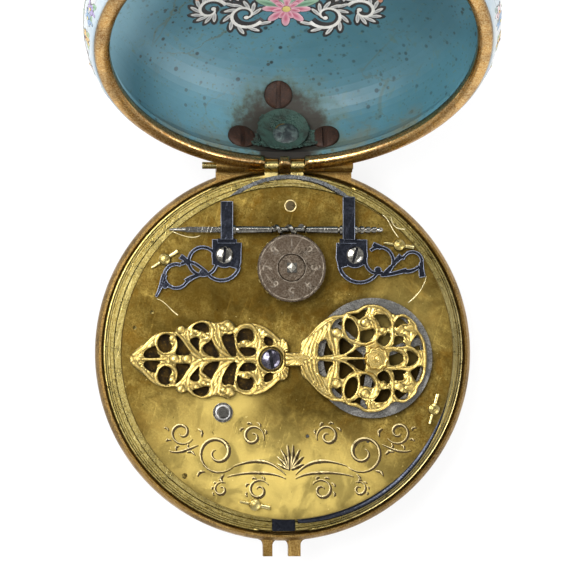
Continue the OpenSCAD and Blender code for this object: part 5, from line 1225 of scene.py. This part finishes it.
class WATCH_OT_plate_engraving(WatchOperator):
    """Engraves a plain pair of scrolls with leaves on the lower half of the top plate"""
    bl_idname = "watch.plate_engraving"
    bl_label = "Engrave the Top Plate"

    def execute(self, context):
        width, middle_x = self.sizes.engraving / MM, 0.3
        sheet, surface = Sheet(), flat(PLATE_TOP)

        def cut(points, swell):
            """One cut on each side of the middle: thin at its ends, a painted highlight along one edge beside
            painted shade in its floor.
            """
            half = len(points) // 2
            for flip in (1, -1):
                # The painted shade lies down and to the right of the line, the painted highlight up and to
                # the left
                for share, slip, lift, tint in ((1.5, 0.05, 0.006, CUT_SHADE),
                                                (0.55, -0.07, 0.012, CUT_HIGHLIGHT)):
                    line = [(middle_x + x * flip + slip, y - slip) for x, y in points]
                    broad, thin = width * swell * share, width * 0.4 * share
                    sheet.stroke(surface, line[:half + 1], thin, broad, lift, tint)
                    sheet.stroke(surface, line[half:], broad, thin, lift, tint)

        def leaf_cut(x, y, reach, turn, swell):
            """A short hooked cut from a point."""
            points = [(x, y)]
            for share, a in ((0.6, turn), (1, turn - 0.5)):
                dx, dy = polar(reach * share, a)
                points.append((x + dx, y + dy))
            cut(points, swell)

        for cx, cy, r0, r1, a0, a1, swell in SCROLLS:
            cut(spiral(cx, cy, r0, r1, a0, a1, 34), swell)
            for k in range(4):
                a = math.radians(a0 + (a1 - a0) * (0.06 + 0.09 * k))
                x, y = polar(r0 * 1.06, a)
                leaf_cut(cx + x, cy + y, 0.42 * r0, a + math.copysign(0.9, a1 - a0), swell * 0.7)
        for *corners, count, swell in STALKS:
            cut(curve(*corners, count), swell)
        for reach, lean in ((2.6, 4), (2.3, 22), (1.9, 42), (1.4, 64)):
            x, y = polar(reach, math.radians(90 - lean))
            cut([(0.1, -12.2), (0.12 + x * 0.5, -12.2 + y * 0.6), (0.12 + x, -12.2 + y)], 2.0)
        # The hole at the top: a dark disc of painted shade in it, and a painted highlight round it
        sheet.stroke(surface, arc(*HOLE, 0.26, 0, 360, 20), 0.5, 0.5, 0.01, (0.07, 0.05, 0.02))
        sheet.stroke(surface, arc(*HOLE, 0.58, 0, 360, 28), 0.12, 0.12, 0.03, CUT_HIGHLIGHT)
        for corners in SCRATCHES:
            sheet.stroke(surface, curve(*corners), 0.05, 0.11, 0.012, HAIRLINE)
        ink = Finish("engraved_line", metallic=0.7, roughness=0.4)
        tarnish = ink.use("tarnish", Patch_Scale=900.0, Low=0.3, High=0.6)
        ink.mix(ink.span(tarnish["Patches"], 0.0, 1.0, 0.45, 0.0), ink.tint(), "3a2c10")
        sheet.finish("plate_engraving", ink.material, "movement", "gilt_brass")
        self.collar()
        return {"FINISHED"}

    def collar(self):
        """The turned ring, and the dark floor inside it, round the winding square."""
        face = flat(node_box_mm("winding_collar")[1][2], 1, middle_mm("winding_collar")[:2])
        sheet = Sheet()
        bright, dark = (0.55, 0.54, 0.52), (0.05, 0.045, 0.04)
        for radius, width, height, tint, n in ((0.5, 0.2, 0.03, dark, 32), (0.68, 0.2, 0.07, bright, 36),
                                               (0.92, 0.09, 0.02, dark, 40)):
            sheet.stroke(face, arc(0, 0, radius, 0, 360, n), width, width, height, tint)
        made = Finish("turned_ring", metallic=0.9, roughness=0.3)
        made.colour(made.tint())
        sheet.finish("collar_ring", made.material, "fusee_group", "polished_steel")


# Repeats by geometry nodes

def geometry_tree(name, inputs):
    """A geometry tree with the named inputs: its tree, what comes in and what goes out."""
    ends = [("Geometry", "Geometry")]
    return new_group(name, "GeometryNodeTree", ends + inputs + [("Material", "Material")], ends)


def end_tree(tree, geometry, inside, outside):
    """Closes a tree: instances are made real and take the material."""
    real = add_node(tree, "GeometryNodeRealizeInstances", {0: geometry})
    join(tree, add_node(tree, "GeometryNodeSetMaterial", {"Geometry": real, "Material": inside["Material"]}),
         outside[0])


def run_tree(name, source, tree, values, body):
    """Runs a tree on source and keeps the result as a plain mesh of that name."""
    modifier = source.modifiers.new("repeat", "NODES")
    modifier.node_group = tree
    for item in tree.interface.items_tree:
        if item.in_out == "INPUT" and item.name in values:
            modifier[item.identifier] = values[item.name]
    view = bpy.context.evaluated_depsgraph_get()
    mesh = bpy.data.meshes.new_from_object(source.evaluated_get(view), depsgraph=view)
    source.modifiers.remove(modifier)
    bpy.data.objects.remove(source)
    mesh.name = name
    for polygon in mesh.polygons:
        polygon.use_smooth = False
    obj = new_object(name, mesh)
    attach(obj, body)
    return obj


def link_piece():
    """One link of the fusee chain: two waisted plates, a third between them, and two rivets."""
    sheet = Sheet()
    for low, high, start, width in ((0.09, 0.19, 0, 0.3), (-0.19, -0.09, 0, 0.3), (-0.06, 0.06, 0.31, 0.28)):
        outline = []
        for a in round_angles(16):
            waist = 0.66 + 0.34 * abs(math.cos(a)) ** 1.5
            outline.append((start + 0.36 * math.cos(a), 0.3 + width * math.sin(a) * waist))
        sheet.prism(outline, (low, high))
    for x in (-0.16, 0.16):
        sheet.prism(arc(x, 0.3, 0.09, 0, 300, 5), (-0.22, 0.22))
    return loose_object("link_piece", sheet.verts, sheet.faces)


class WATCH_OT_chain(WatchOperator):
    """Threads the fusee chain link by link along its path round the barrel and the fusee"""
    bl_idname = "watch.chain"
    bl_label = "Link the Fusee Chain"

    def execute(self, context):
        tree, inside, outside = geometry_tree("chain_links", [("Link", "Object"), ("Pitch", "Float")])
        line = add_node(tree, "GeometryNodeMeshToCurve", {0: inside["Geometry"]})
        even = add_node(tree, "GeometryNodeResampleCurve", {"Curve": line, "Length": inside["Pitch"]},
                        mode="LENGTH")
        keep = add_node(tree, "GeometryNodeCaptureAttribute", {0: even}, domain="POINT")
        keep.capture_items.new("VECTOR", "Tangent")
        join(tree, add_node(tree, "GeometryNodeInputTangent"), keep.inputs["Tangent"])
        points = add_node(tree, "GeometryNodeCurveToPoints", {"Curve": keep}, mode="EVALUATED")
        align = add_node(tree, "FunctionNodeAlignRotationToVector", {"Vector": keep.outputs["Tangent"]},
                         axis="X", pivot_axis="Z")
        shape = add_node(tree, "GeometryNodeObjectInfo", {"Object": inside["Link"]}).outputs["Geometry"]
        strewn = add_node(tree, "GeometryNodeInstanceOnPoints",
                          {"Points": points, "Instance": shape, "Rotation": align})
        end_tree(tree, strewn, inside, outside)

        path = self.path_points()
        source = loose_object("chain_path", path, edges=[(i, i + 1) for i in range(len(path) - 1)])
        piece = link_piece()
        material = NODES["fusee_chain"].material_slots[0].material
        chain = run_tree("fusee_chain_links", source, tree,
                         {"Link": piece, "Pitch": self.sizes.link_pitch, "Material": material},
                         "movement")
        bpy.data.objects.remove(piece)
        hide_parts("fusee_chain")
        return {"FINISHED"}

    @staticmethod
    def path_points():
        """The inner face of the chain, from the barrel's upper turns to the fusee's lower ones."""
        level, pitch, barrel_turns, fusee_turns = 10.4, 0.82, 3, 2.25
        barrel_steps, fusee_steps = 288, 180
        barrel_radius, ribbon = 9.33, 0.05
        foot_z, foot_radius, top_z, top_radius = 8.25, 6.0, 12.6, 2.6

        def cone_radius(z):
            """The radius of the fusee, whose inverse grows evenly from its foot to its top."""
            t = min(max((z - foot_z) / (top_z - foot_z), 0), 1)
            return 1 / (1 / foot_radius + (1 / top_radius - 1 / foot_radius) * t)

        bx, by = FUSEE[0] - BARREL[0], FUSEE[1] - BARREL[1]
        slack = (barrel_radius - cone_radius(level - 0.2) - ribbon) / math.hypot(bx, by)
        tangent = math.atan2(by, bx) - math.acos(slack)
        points = []
        for i in range(barrel_steps + 1):
            left = barrel_turns * (1 - i / barrel_steps)
            x, y = polar(barrel_radius, tangent - 2 * math.pi * left)
            points.append((BARREL[0] + x, BARREL[1] + y, level + pitch * left))
        for i in range(fusee_steps + 1):
            turn = fusee_turns * i / fusee_steps
            z = level - pitch * turn
            x, y = polar(cone_radius(z - 0.2) + ribbon, tangent + 2 * math.pi * turn)
            points.append((FUSEE[0] + x, FUSEE[1] + y, z))
        return points[::-1]


# Dial and disc

NUMERALS = ("XII", "I", "II", "III", "IIII", "V", "VI", "VII", "VIII", "IX", "X", "XI")
LETTER_WIDTHS = {"I": 0.52, "V": 0.86, "X": 0.86}
LETTER_LINES = {"I": [(0, 0, 0, 1)], "V": [(-0.36, 1, 0, 0), (0.36, 1, 0, 0)],
                "X": [(-0.36, 1, 0.36, 0), (0.36, 1, -0.36, 0)]}


class WATCH_OT_dial_marks(WatchOperator):
    """Paints the hour numerals, the quarter marks and the rings of the dial"""
    bl_idname = "watch.dial_marks"
    bl_label = "Paint the Dial"

    def execute(self, context):
        ink = Finish("dial_ink", roughness=0.3)
        ink.mix(ink.span(ink.noise(1500.0, 3.0), 0.3, 0.7), "15151a", "2e2c30")
        sheet, face = Sheet(), flat(DIAL_LOW, -1)

        def domed(x, y, lift):
            """The dial's face, which falls away towards its edge."""
            return face(x, y, lift - 0.06 * max(0.0, math.hypot(x, y) - 14) / 3.4)

        def mark(points, width):
            sheet.stroke(domed, points, width, width, 0.015)

        for radius, width in ((16.3, 0.14), (15.2, 0.1), (11.2, 0.1), (7.4, 0.08)):
            mark(arc(0, 0, radius, 0, 360, 120), width)
        for i, a in enumerate(round_angles(48)):
            mark([clock(15.25, a), clock(16.25, a)], 0.1 if i % 4 else 0.24)
        for word, hour_turn in zip(NUMERALS, round_angles(12)):
            start = -sum(LETTER_WIDTHS[letter] for letter in word) / 2
            for letter in word:
                middle = start + LETTER_WIDTHS[letter] / 2
                start += LETTER_WIDTHS[letter]
                serif = LETTER_WIDTHS[letter] * 0.42
                lines = list(zip(LETTER_LINES[letter], (0.3, 0.12)))
                lines += [((-serif, y, serif, y), 0.1) for y in (0, 1)]
                for (x0, y0, x1, y1), width in lines:
                    mark([turned(-(middle + x), 11.65 + 2.9 * y, hour_turn) for x, y in ((x0, y0), (x1, y1))],
                         width)
        sheet.finish("dial_numerals", ink.material, "movement", "dial_enamel", smooth=False)

        tree, inside, outside = geometry_tree(
            "hour_studs", [("Radius", "Float"), ("Count", "Int"), ("Stud", "Float")])
        circle = add_node(tree, "GeometryNodeMeshCircle", {"Vertices": inside["Count"],
                                                           "Radius": inside["Radius"]})
        stud = add_node(tree, "GeometryNodeMeshIcoSphere", {"Radius": inside["Stud"]})
        strewn = add_node(tree, "GeometryNodeInstanceOnPoints",
                          {"Points": circle, "Instance": stud, "Scale": (1, 1, 0.25)})
        placed = add_node(tree, "GeometryNodeTransform",
                          {"Geometry": strewn, "Translation": (0, 0, DIAL_LOW * MM)})
        end_tree(tree, placed, inside, outside)
        run_tree("dial_dots", loose_object("dots_source", [(0, 0, 0)]), tree,
                 {"Radius": 9.3 * MM, "Count": 24, "Stud": 0.17 * MM, "Material": ink.material},
                 "movement")
        return {"FINISHED"}


class WATCH_OT_disc_marks(WatchOperator):
    """Cuts the ring of small figures and the rings into the silvered disc"""
    bl_idname = "watch.disc_marks"
    bl_label = "Mark the Set-up Disc"

    def execute(self, context):
        sheet, top = Sheet(), flat(DISC_TOP, 1, (DISC_X, DISC_Y))
        for radius, width in ((3.3, 0.08), (1.5, 0.06)):
            sheet.stroke(top, arc(0, 0, radius, 0, 360, 60), width, width, 0.008)
        for a in round_angles(16):
            sheet.stroke(top, [polar(2.0, a), polar(2.12, a)], 0.06, 0.06, 0.008)
        for number, a in enumerate(round_angles(8), 1):
            place = (Matrix.Translation((DISC_X, DISC_Y, DISC_TOP + 0.003)) @ Matrix.Rotation(-a, 4, "Z")
                     @ Matrix.Translation((0, 2.45, 0)))
            self.figure(sheet, str(number), place)
        ink = Finish("disc_ink", metallic=0.5, roughness=0.5)
        ink.mix(ink.span(ink.noise(1800.0, 3.0), 0.3, 0.7), "3a3128", "8f8474")
        sheet.finish("disc_figures", ink.material, "setup_group", "silvered_brass", smooth=False)

        tip, top_z = Sheet(), node_box_mm("barrel_arbor")[1][2]
        corners = [(DISC_X + x, DISC_Y + y, top_z) for x, y in ((0.5, 0), (0, 0.5), (-0.5, 0), (0, -0.5))]
        tip.add(corners + [(DISC_X, DISC_Y, top_z + 0.04)],
                [(0, 1, 4), (1, 2, 4), (2, 3, 4), (3, 0, 4), (3, 2, 1, 0)])
        worn = old_metal("worn_square", "6a665e", "9a958a", "c9c4b8", patch=900.0)
        tip.finish("square_tip", worn.material, "setup_group", "polished_steel", smooth=False)
        return {"FINISHED"}

    @staticmethod
    def figure(sheet, words, place):
        """Adds a figure to a sheet, as a thin solid at its place."""
        text = bpy.data.curves.new("figure", "FONT")
        text.body = words
        text.size = 1.4
        text.align_x, text.align_y = "CENTER", "CENTER"
        text.extrude, text.resolution_u = 0.004, 2
        obj = new_object("figure", text)
        bpy.context.view_layer.update()
        mesh = bpy.data.meshes.new_from_object(obj.evaluated_get(bpy.context.evaluated_depsgraph_get()))
        sheet.add([tuple(place @ v.co) for v in mesh.vertices], [list(p.vertices) for p in mesh.polygons])
        bpy.data.objects.remove(obj)
        bpy.data.meshes.remove(mesh)


# Painting on the bowl

# Flowers: the petals' edge, their heart, and the eye
FLOWERS = [tuple(linear(c) for c in kind) for kind in (
    ("e9a9b8", "b93a62", "e8c84a"), ("c3b4e0", "6a55a8", "f0d860"), ("f1d06a", "d9822a", "8a3a20"),
    ("f4f0ec", "d98aa0", "e0b840"), ("9fc6e6", "3c6fae", "f2e8a0"))]
PALE_ROSE, CORAL, LILAC = [tuple(linear(c) for c in kind) for kind in (
    ("f3c3cf", "c2476e", "e8d27a"), ("f2b89a", "d0603e", "f0d070"), ("cdbfe6", "6f5cae", "f0dc70"))]
# Leaves: edge and heart
GREENS = [tuple(linear(c) for c in kind) for kind in (
    ("9ccaa4", "3f7d5a"), ("b9cf8e", "5d7a34"), ("a9c4bd", "4e6f70"))]


def flower(sheet, surface, place, size, turn, petals, kind):
    """An open flower of two rows of petals, each edged in black, with a domed eye."""
    edge, heart, eye = kind
    for row, (reach, count) in enumerate(((1.0, petals), (0.62, petals - 1))):
        for i in range(count):
            a = turn + row * 25 + i * 360 / count
            length, width = size * reach, size * reach * 2.9 / count * 1.15
            petal(sheet, surface, place, a, length + 0.1, width + 0.14, 0.03 + 0.03 * row, BLACK, BLACK)
            petal(sheet, surface, place, a, length, width, 0.06 + 0.03 * row, edge, heart)
    boss(sheet, surface, place, size * 0.2 + 0.05, 0.12, BLACK)
    boss(sheet, surface, place, size * 0.2, 0.15, eye)


def leaf(sheet, surface, place, turn, length, width, green):
    """A pointed leaf, edged in black, with a rib."""
    edge, heart = green
    petal(sheet, surface, place, turn, length + 0.14, width + 0.16, 0.025, BLACK, BLACK, tip=0.7)
    petal(sheet, surface, place, turn, length, width, 0.05, edge, heart, tip=0.7)
    rib = []
    for share in (0.05, 0.45, 0.85):
        x, y = polar(length * share, math.radians(turn))
        rib.append((place[0] + x, place[1] + y))
    sheet.stroke(surface, rib, 0.09, 0.04, 0.065, mix(edge, BLACK, 0.7))


def stem(sheet, surface, points, width, tint):
    sheet.stroke(surface, points, width + 0.12, width + 0.08, 0.02, BLACK)
    sheet.stroke(surface, points, width, width * 0.7, 0.04, tint)


class WATCH_OT_outside_flowers(WatchOperator):
    """Paints garlands of flowers and leaves round the outside of the bowl"""
    bl_idname = "watch.outside_flowers"
    bl_label = "Paint the Outside"

    def execute(self, context):
        skin = outside_skin()
        paint = painted("enamel_paint_outside", age=0.18)
        for name, draw_on in (("outside_garland", self.garland), ("outside_painting", self.sprigs)):
            sheet = Sheet()
            draw_on(sheet, skin.place, skin.reach)
            sheet.finish(name, paint, "bowl", "painted_enamel")
        return {"FINISHED"}

    def garland(self, sheet, surface, reach):
        """A waving stem round the belly, with large flowers on it and small ones on both sides."""
        draw = random.Random(self.sizes.seed)
        count = self.sizes.flower_count
        belly, step = reach - 3.9, 2 * math.pi / count
        for i in range(count):
            a = step * (i + 0.5)
            wave = [clock(belly - 0.5 + math.sin(k / 12 * 2 * math.pi), a - step / 2 + step * k / 12)
                    for k in range(13)]
            stem(sheet, surface, wave, 0.16, linear("4e7a4e"))
            for side in (-1, 1):
                for k in range(3):
                    b = a + side * step * (0.2 + 0.14 * k)
                    turn = math.degrees(math.pi / 2 - b) + side * (60 + 40 * k) + draw.uniform(-15, 15)
                    leaf(sheet, surface, clock(belly - 0.4 + side * 0.8 * (k - 1), b), turn,
                         draw.uniform(1.9, 2.5), draw.uniform(0.8, 1.1), GREENS[(i + k) % 3])
            flower(sheet, surface, clock(belly - 0.9 * (i % 2), a), draw.uniform(2.1, 2.5),
                   draw.uniform(0, 60), 6 + i % 2, FLOWERS[i % 5])
            for kind, away, size in ((2, 2.4, 1.15), (3, -3.1, 1.3)):
                flower(sheet, surface, clock(belly + away, a + step / 2), size, draw.uniform(0, 60), 5,
                       FLOWERS[(i + kind) % 5])

    def sprigs(self, sheet, surface, reach):
        """Small flowers in pairs of leaves along the rim, two rings of sprigs, and the crown's flower."""
        def sprig(r, a, size, turn, petals, kind, green, bends, length, width):
            for bend in bends:
                leaf(sheet, surface, clock(r, a), math.degrees(math.pi / 2 - a) + bend, length, width, green)
            flower(sheet, surface, clock(r, a), size, turn, petals, FLOWERS[kind % 5])

        for i in range(30):
            sprig(reach - 1.5, 2 * math.pi * (i + 0.5) / 30, 1.1, i * 23, 5, i, GREENS[i % 3],
                  (-70, 70), 1.9, 0.75)
        for ring, size, number in ((11.2, 1.6, 8), (6.4, 1.9, 6)):
            for i in range(number):
                sprig(ring, 2 * math.pi * (i + ring % 2 / 2) / number, size, i * 17, 6, i * 2 + number,
                      GREENS[i % 3], (-80, 80, 160, -160), size * 1.75, size * 0.6)
        for i in range(8):
            leaf(sheet, surface, (0, 0), i * 45 + 10, 4.2, 1.2, GREENS[i % 3])
        flower(sheet, surface, (0, 0), 3.1, 0, 8, FLOWERS[0])


class WATCH_OT_inside_flowers(WatchOperator):
    """Paints a spray with leafy scrolls in the hollow of the bowl"""
    bl_idname = "watch.inside_flowers"
    bl_label = "Paint the Inside"

    def execute(self, context):
        surface, middle_y = inside_skin().place, 9.3
        sheet = Sheet()
        white, grey = linear("f2efe8"), linear("8f9296")

        def at(x, y, lift):
            return surface(x, middle_y + y, lift)

        for side in (1, -1):
            for cx, cy, r0, r1, a0, a1 in ((4.3, -0.9, 2.0, 0.4, 150, -250), (8.0, -1.9, 1.7, 0.35, 200, 560),
                                           (5.6, -5.0, 1.4, 0.3, 240, -60)):
                points = [(side * x, y) for x, y in spiral(cx, cy, r0, r1, a0, a1, 22)]
                sheet.stroke(at, [(x + 0.22, y - 0.3) for x, y in points], 1.0, 0.5, 0.02, BLACK)
                sheet.stroke(at, points, 1.25, 0.65, 0.025, BLACK)
                sheet.stroke(at, points, 0.5, 0.24, 0.045, white, groove=0.2)
                boss(sheet, at, points[-1], 0.42, 0.03, BLACK)
                boss(sheet, at, points[-1], 0.28, 0.06, white)
                for x, y in points[1:20:2]:
                    turn = math.degrees(math.atan2(y - cy, x - side * cx)) - side * math.copysign(62, a1 - a0)
                    petal(sheet, at, (x, y), turn, 2.0, 1.05, 0.02, BLACK, BLACK, tip=0.4, n=10)
                    petal(sheet, at, (x, y), turn, 1.6, 0.5, 0.045, white, grey, tip=0.4, n=10)
        for i in range(5):
            leaf(sheet, at, (0, -1.8), -90 + (i - 2) * 34, 3.6, 1.0, (linear("a9cdb0"), linear("4f8a68")))
        flower(sheet, at, (0, -1.8), 2.6, 90, 8, PALE_ROSE)
        for side in (1, -1):
            flower(sheet, at, (side * 9.6, -4.6), 1.25, 20, 6, CORAL)
            flower(sheet, at, (side * 3.0, -7.0), 1.2, 50, 5, LILAC)
        sheet.finish("inside_painting", painted("enamel_paint_inside", 0.5, 0.05), "bowl", "turquoise_enamel")
        return {"FINISHED"}


class WATCH_OT_corrosion(WatchOperator):
    """Strews verdigris crumbs over the pendant's plate and adds the crusted end of its rivet"""
    bl_idname = "watch.corrosion"
    bl_label = "Add Corrosion"

    def execute(self, context):
        tree, inside, outside = geometry_tree(
            "crumbs", [("Density", "Float"), ("Crumb", "Float"), ("Seed", "Int")])
        spread = add_node(tree, "GeometryNodeDistributePointsOnFaces",
                          {"Mesh": inside["Geometry"], "Density": inside["Density"], "Seed": inside["Seed"]})
        crumb = add_node(tree, "GeometryNodeMeshIcoSphere", {"Radius": inside["Crumb"]})
        size = add_node(tree, "FunctionNodeRandomValue", data_type="FLOAT_VECTOR")
        for key, value in (("Min", (0.4, 0.4, 0.25)), ("Max", (1.5, 1.3, 0.8)), ("Seed", inside["Seed"])):
            join(tree, value, size.inputs[key])
        strewn = add_node(tree, "GeometryNodeInstanceOnPoints",
                          {"Points": spread.outputs["Points"], "Rotation": spread.outputs["Rotation"],
                           "Instance": crumb, "Scale": size.outputs["Value"]})
        end_tree(tree, strewn, inside, outside)

        skin = inside_skin()
        base = skin.reach - 3.2
        patch = Sheet()
        patch.rings([[skin.place(4.3 * share * math.cos(a) * (1 + 0.2 * math.sin(3 * a + 0.6)),
                                 base + 2.9 * share * math.sin(a) * (1 + 0.15 * math.sin(5 * a)), 0.4)
                      for a in round_angles(24)] for share in (1.0, 0.75, 0.45, 0.15)], close_start=False)
        crust = NODES["pendant_plate"].material_slots[0].material
        run_tree("verdigris_crumbs", loose_object("crumb_source", patch.verts, patch.faces), tree,
                 {"Density": 2.0e7, "Crumb": 0.2 * MM, "Seed": self.sizes.seed, "Material": crust},
                 "bowl")

        draw, lump, rivet_x = random.Random(self.sizes.seed), Sheet(), 0.35
        outline = [(rivet_x + 1.75 * math.cos(a) * draw.uniform(0.94, 1.04),
                    base + 1.45 * math.sin(a) * draw.uniform(0.94, 1.04)) for a in round_angles(28)]
        lump.blob(lambda x, y, lift: skin.place(x, y, lift + 0.45), outline, (rivet_x, base), 0.5,
                  WHITE, WHITE, sink=0.5)
        stone = Finish("crusted_rivet", metallic=0.3, roughness=0.55)
        patches = stone.use("tarnish", Patch_Scale=1100.0, Low=0.35, High=0.65)["Patches"]
        stone.mix(patches, "23282a", "55635f")
        stone.bump(patches, 0.7, 0.08)
        lump.finish("crusted_rivet", stone.material, "bowl", "verdigris_plate")
        return {"FINISHED"}


# Stage

# Lamps: name, place, size and power
LAMPS = (("key_light", (-0.16, 0.10, 0.34), 0.22, 1.9), ("fill_light", (0.22, -0.16, 0.26), 0.2, 0.8),
         ("back_light", (0.05, 0.30, 0.22), 0.16, 0.5))
# The camera: breadth of its picture and length of its lens in pixels, and breadth of its sensor
PHOTO_PIXELS, FOCAL_PIXELS, SENSOR_MM = 576.0, 3297.0, 36.0


class WATCH_OT_stage(WatchOperator):
    """Lays the pale floor, hangs the soft lights and sets the camera"""
    bl_idname = "watch.stage"
    bl_label = "Set the Stage"

    def execute(self, context):
        scene = context.scene
        scene.view_settings.view_transform = "Standard"
        self.floor()
        world = bpy.data.worlds.new("studio")
        scene.world = world
        world.use_nodes = True
        tree = world.node_tree
        background = tree.nodes["Background"]
        apart = add_node(tree, "ShaderNodeSeparateXYZ",
                         {0: tree.nodes.new("ShaderNodeTexCoord").outputs["Generated"]})
        overhead = span(tree, apart.outputs["Z"], 0.7, 0.97, 0.72, 0.3)
        seen = tree.nodes.new("ShaderNodeLightPath").outputs["Is Camera Ray"]
        join(tree, calculate(tree, "MAXIMUM", overhead, seen), background.inputs["Strength"])
        background.inputs["Color"].default_value = (1, 1, 1, 1)
        for lamp in LAMPS:
            self.lamp(*lamp)
        scene.camera = self.camera()
        return {"FINISHED"}

    @staticmethod
    def floor():
        """A pale floor under the glass, which is white to the camera and keeps the watch's shadow."""
        half, depth = 0.6, -0.0001
        mesh = bpy.data.meshes.new("floor")
        mesh.from_pydata([(-half, -half, depth), (half, -half, depth), (half, half, depth),
                          (-half, half, depth)], [], [(0, 1, 2, 3)])
        floor = new_object("floor", mesh)
        material = bpy.data.materials.new("pale_floor")
        material.use_nodes = True
        tree = material.node_tree
        tree.nodes.clear()
        paths = tree.nodes.new("ShaderNodeLightPath").outputs
        seen = calculate(tree, "MAXIMUM", paths["Is Camera Ray"], paths["Is Glossy Ray"])
        seen = calculate(tree, "MAXIMUM", seen, paths["Is Transmission Ray"])
        matte = add_node(tree, "ShaderNodeBsdfDiffuse", {"Color": (0.9, 0.9, 0.9, 1)})
        glow = add_node(tree, "ShaderNodeEmission", {"Color": (1, 1, 1, 1), "Strength": 1.0})
        white_share = calculate(tree, "MULTIPLY", seen, 0.8)
        both = add_node(tree, "ShaderNodeMixShader", {0: white_share, 1: matte, 2: glow})
        add_node(tree, "ShaderNodeOutputMaterial", {"Surface": both})
        mesh.materials.append(material)

    @staticmethod
    def lamp(name, place, size, power):
        """A square lamp that faces the watch."""
        light = bpy.data.lights.new(name, "AREA")
        light.shape = "SQUARE"
        light.size = size
        light.energy = power
        obj = new_object(name, light)
        obj.location = place
        obj.rotation_mode = "QUATERNION"
        obj.rotation_quaternion = (Vector(place) - Vector((0, 0.01, 0.01))).to_track_quat("Z", "Y")

    @staticmethod
    def camera():
        """The camera that was fitted to the photograph."""
        camera = bpy.data.cameras.new("camera")
        camera.sensor_width = SENSOR_MM
        camera.lens = FOCAL_PIXELS / PHOTO_PIXELS * SENSOR_MM
        camera.clip_start, camera.clip_end = 0.01, 5.0
        eye = new_object("camera", camera)
        place = Vector((-0.0205, 0.00095, 0.3569))
        back = (place - Vector((0.00046, 0.00685, 0.0075))).normalized()
        right = Vector((0, 1, 0)).cross(back).normalized()
        turn = Matrix((right, back.cross(right), back)).transposed().to_4x4()
        eye.matrix_world = Matrix.Translation(place) @ turn
        return eye


class WATCH_PT_panel(bpy.types.Panel):
    """Lists the watch's operators and settings"""
    bl_label = "Pocket Watch"
    bl_idname = "WATCH_PT_panel"
    bl_space_type = "VIEW_3D"
    bl_region_type = "UI"
    bl_category = "Watch"

    def draw(self, context):
        layout = self.layout
        for operator in OPERATORS:
            layout.operator(operator.bl_idname)
        for group in (context.scene.watch_colours, context.scene.watch_sizes):
            column = layout.column(align=True)
            for key in group.bl_rna.properties.keys():
                if key not in ("rna_type", "name"):
                    column.prop(group, key)


OPERATORS = (WATCH_OT_gilding, WATCH_OT_steel, WATCH_OT_enamel, WATCH_OT_bowl_edge, WATCH_OT_cock_relief,
             WATCH_OT_plate_engraving, WATCH_OT_chain, WATCH_OT_dial_marks, WATCH_OT_disc_marks,
             WATCH_OT_outside_flowers, WATCH_OT_inside_flowers, WATCH_OT_corrosion, WATCH_OT_stage)
CLASSES = (WatchColours, WatchSizes, *OPERATORS, WATCH_PT_panel)


def register():
    for cls in CLASSES:
        bpy.utils.register_class(cls)
    bpy.types.Scene.watch_colours = bpy.props.PointerProperty(type=WatchColours)
    bpy.types.Scene.watch_sizes = bpy.props.PointerProperty(type=WatchSizes)


def unregister():
    del bpy.types.Scene.watch_colours
    del bpy.types.Scene.watch_sizes
    for cls in reversed(CLASSES):
        bpy.utils.unregister_class(cls)


def main():
    register()
    for operator in OPERATORS:
        group, name = operator.bl_idname.split(".")
        getattr(getattr(bpy.ops, group), name)()


if __name__ == "__main__":
    main()
